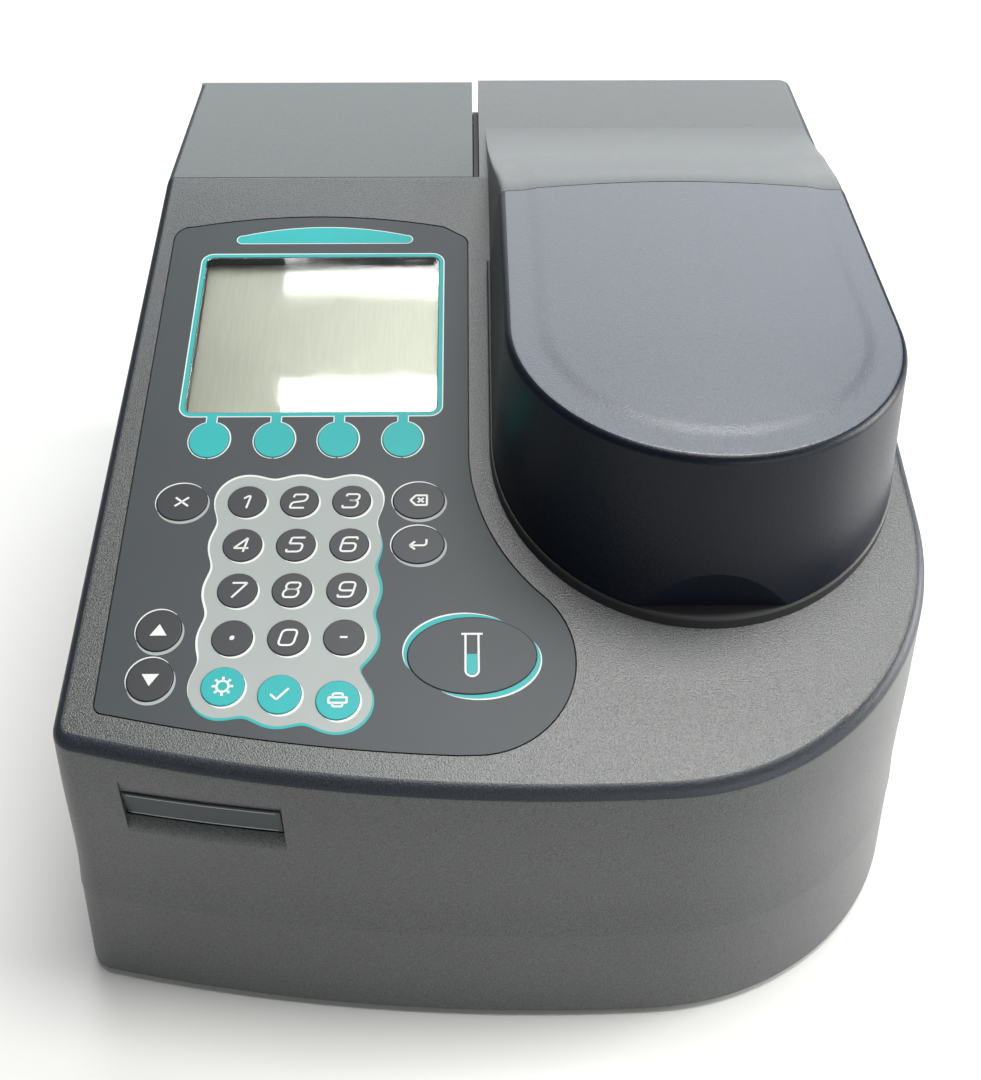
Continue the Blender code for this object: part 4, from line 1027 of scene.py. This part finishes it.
def prints(paint):
    """Everything printed on the overlay, as thin raised ink."""
    base, top, over = OVERLAY_TOP, OVERLAY_TOP + INK, OVERLAY_TOP + HIGH_INK
    field_keys, side_keys = key_table()[4:19], key_table()[19:24]
    pale = bmesh.new()
    slab(pale, [surround_reach(math.radians(1.5 * k)) for k in range(240)], base, top)
    for _, radii, place, _ in side_keys:
        crescent(pale, place, grown(radii, 0.3), -152, 22, 1.25, base, top)
    pale_item = cut(on_panel(new_object("pale", pale)), key_holes(KEY_GAP))
    piece(pale_item, "print_pale", [paint["pale"]])

    white, teal = bmesh.new(), bmesh.new()
    surround_edge(white, 232, 38, 0.9, base, top)
    surround_edge(teal, 40, -128, 1.1, base, top)
    for _, radii, place, _ in field_keys:
        crescent(white, place, grown(radii, 0.2), -118, 28, 1.0, base, over)
    for _, radii, place, _ in side_keys:
        crescent(white, place, grown(radii, 0.3), 48, 205, 0.55, base, top)
    inner, middle, outer = (window_outline(grow, 3.0 + grow) for grow in (0.15, 1.9, 2.35))
    ribbon(teal, inner, middle, base, top, closed=True)
    ribbon(white, middle, outer, base, top, closed=True)
    stem_low, stem_high, stem_half = SOFT_V + SOFT_RADII[1] - 0.9, WINDOW[2] - 1.8, 1.9
    for u in SOFT_KEYS:
        slab(teal, rectangle(u - stem_half, u + stem_half, stem_low + 0.9, stem_high), base, over)
        for side in (-1, 1):
            edge = u + side * (stem_half + 0.2)
            slab(white, rectangle(edge - 0.2, edge + 0.2, stem_low + 0.6, stem_high), base, top)
        for start, end, thick in ((106, 268, 0.4), (-88, 74, 0.6)):
            crescent(white, (u, SOFT_V), grown(SOFT_RADII, 0.2), start, end, thick, base, top, 0.3)
    slab(teal, title_strip(0.0), base, over)
    slab(white, title_strip(0.4), base, top)
    for start, end in ((200, 62), (20, -118)):
        for build, thick, high in ((teal, 1.9, over), (white, 2.6, top)):
            crescent(build, OVAL_KEY, grown(OVAL_RADII, 0.3), start, end, thick, base, high)
    for build, name, colour in ((white, "print_white", "white"), (teal, "print_teal", "teal")):
        piece(on_panel(new_object(name, build)), name, [paint[colour]])


def display_parts(paint):
    low_u, high_u, low_v, high_v = WINDOW
    window = bmesh.new()
    rings = []
    for inset, z in ((0.1, -0.95), (0.1, -0.2), (0.22, OVERLAY_TOP)):
        rings.append(level(window_outline(-inset, 2.9), z))
    skin(window, rings)
    for k in range(1, 12):
        for low, high, way in ((low_u, high_u, (1, 0, 0)), (low_v, high_v, (0, 1, 0))):
            split(window, Vector(way) * (low + (high - low) * k / 12), way)
    for vert in window.verts:
        if vert.co.z > OVERLAY_TOP - 0.01:
            across = (vert.co.x - low_u) / (high_u - low_u)
            up = max(2 * (vert.co.y - low_v) / (high_v - low_v) - 1, 0.0)
            vert.co.z -= 0.17 * (1 - across**2 * up**2)
    item = on_panel(new_object("window", window))
    piece(item, "display_window", [paint["window"]], ["lcd_window"])
    liner = bmesh.new()
    ribbon(liner, window_outline(0.8, 2.4), window_outline(-0.1, 2.0), -DISPLAY_DEPTH, -1.05, closed=True)
    item = on_panel(new_object("liner", liner))
    piece(item, "display_liner", [paint["black"]])
    module = bmesh.new()
    back, glass_top = -DISPLAY_DEPTH - 0.3, -DISPLAY_DEPTH - 0.05
    slab(module, window_outline(4, 1.5), -12.0, back)
    slab(module, window_outline(1, 1.0), back, glass_top, 1)
    item = on_panel(new_object("module", module))
    finishes = [paint["sheet"], paint["display"]]
    piece(item, "display_glass", finishes, ["lcd_module"])


# ---------------- rear and small parts


def carried_over(paint):
    """Procedural materials for the CAD nodes that stay visible."""
    chosen = {
        "rubber": ["foot_front_left", "foot_front_right", "foot_rear_left", "foot_rear_right"],
        "sheet": ["base_pan", "rear_panel", "lamp_housing", "power_supply", "serial_port", "parallel_port"],
        "steel": ["lid_hinge_pin", "cover_hinge_pin", "turret_motor", "grating_motor"],
        "black": ["sample_well", "cell_turret", "printer_bay", "power_inlet", "power_rocker",
                  "fan_frame", "fan_rotor"],
        "cast": ["optical_bench"],
        "board": ["main_board", "detector_board", "keypad_board"],
        "lamp": ["lamp_bulb", "lamp_lens"],
        "mirror": ["diffraction_grating"],
    }
    for colour, names in chosen.items():
        for name in names:
            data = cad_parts[name].data
            data.materials.clear()
            data.materials.append(paint[colour])


def box_mm(name):
    low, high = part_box(name)
    return low / MM, high / MM


def screw(build, x, z, y, radius):
    """Pan head screw in the rear panel; its cross recess is not cut but drawn as a thin black cross on the
    head, painted shade.
    """
    rings = []
    for k in range(5):
        turn = math.radians(22.5 * k)
        r, out = radius * math.cos(turn * 0.8), radius * 0.55 * math.sin(turn)
        rings.append(upright(oval((x, z), r, 20), y + out))
    skin(build, rings)
    # painted shade: the cross recess is a thin black plastic cross standing on the head
    for wide, tall in ((0.62, 0.14), (0.14, 0.62)):
        out = y + radius * 0.53
        outline = rectangle(x - radius * wide, x + radius * wide, z - radius * tall, z + radius * tall)
        skin(build, [upright(outline, end) for end in (out, out + 0.12)], 1)


def rear_details(paint):
    face = box_mm("rear_panel")[1].y
    heads = bmesh.new()
    for name, inset, shares, radius in (("rear_panel", 8, (0, 0.5, 1), 2.8), ("fan_frame", 5, (0, 1), 2.4)):
        low, high = box_mm(name)
        for x in (low.x + inset, high.x - inset):
            for share in shares:
                screw(heads, x, low.z + inset + (high.z - low.z - 2 * inset) * share, face, radius)
    finishes = [paint["steel"], paint["black"]]
    piece(new_object("heads", heads), "rear_screws", finishes)

    pins = bmesh.new()
    low, high = box_mm("power_inlet")
    x, z = (low.x + high.x) / 2, 39.5
    for dx, dz in ((-5.5, -1.5), (5.5, -1.5), (0.0, 2.5)):
        outline = rectangle(x + dx - 1, x + dx + 1, z + dz - 2, z + dz + 2, 0.4, 2)
        skin(pins, [upright(outline, end) for end in (188.2, 198.5)])
    for port in ("serial_port", "parallel_port"):
        low, high = box_mm(port)
        middle, half = (low.x + high.x) / 2, (high.x - low.x) / 2 - 9.5
        count = 5 if port == "serial_port" else 13
        for row, drop in ((0, 1.4), (1, -1.4)):
            for k in range(count - row):
                u = middle - half + 2 * half * (k + row / 2) / (count - 1)
                outline = oval((u, 40.0 + drop), 0.5, 10)
                skin(pins, [upright(outline, end) for end in (203.0, 203.8)])
    piece(new_object("pins", pins), "connector_pins", [paint["gold"]])


def carrier_marks(paint):
    """Ring of position dots on the cell carrier's knob."""
    low, high = box_mm("cell_turret")
    centre = (low + high) / 2
    dots = bmesh.new()
    for k in range(6):
        turn = math.radians(60 * k)
        place = (centre[0] + 21 * math.cos(turn), centre[1] + 21 * math.sin(turn))
        skin(dots, [level(oval(place, r, 20), z) for z, r in ((132.9, 1.6), (133.15, 1.6), (133.2, 1.4))])
    piece(new_object("dots", dots), "carrier_marks", [paint["white"]], body="turret")


def floor():
    build = bmesh.new()
    bmesh.ops.create_grid(build, x_segments=8, y_segments=8, size=9000)
    item = new_object("floor", build)
    made, tree, shader = blank("pale_table")
    tint(tree, shader, noise(tree, 220.0, 3.0), (0.71, 0.705, 0.69), (0.74, 0.74, 0.725))
    shader.inputs["Specular IOR Level"].default_value = 0.3
    tree.links.new(remap(tree, noise(tree, 40.0), 0.28, 0.36), shader.inputs["Roughness"])
    item.data.materials.append(made)


def build():
    camera()
    lights()
    floor()
    paint = materials()
    carried_over(paint)
    housing_shell([paint["grey"], paint["black"], paint["rim"]])
    badge_plate(paint["film"], paint["pale"])
    lid_shell(paint["lid"], paint["lid_wall"])
    bay_cover(paint["cover"], paint["rim"])
    overlay(paint["film"], paint["rubber"])
    prints(paint)
    keys(paint)
    display_parts(paint)
    rear_details(paint)
    carrier_marks(paint)


build()
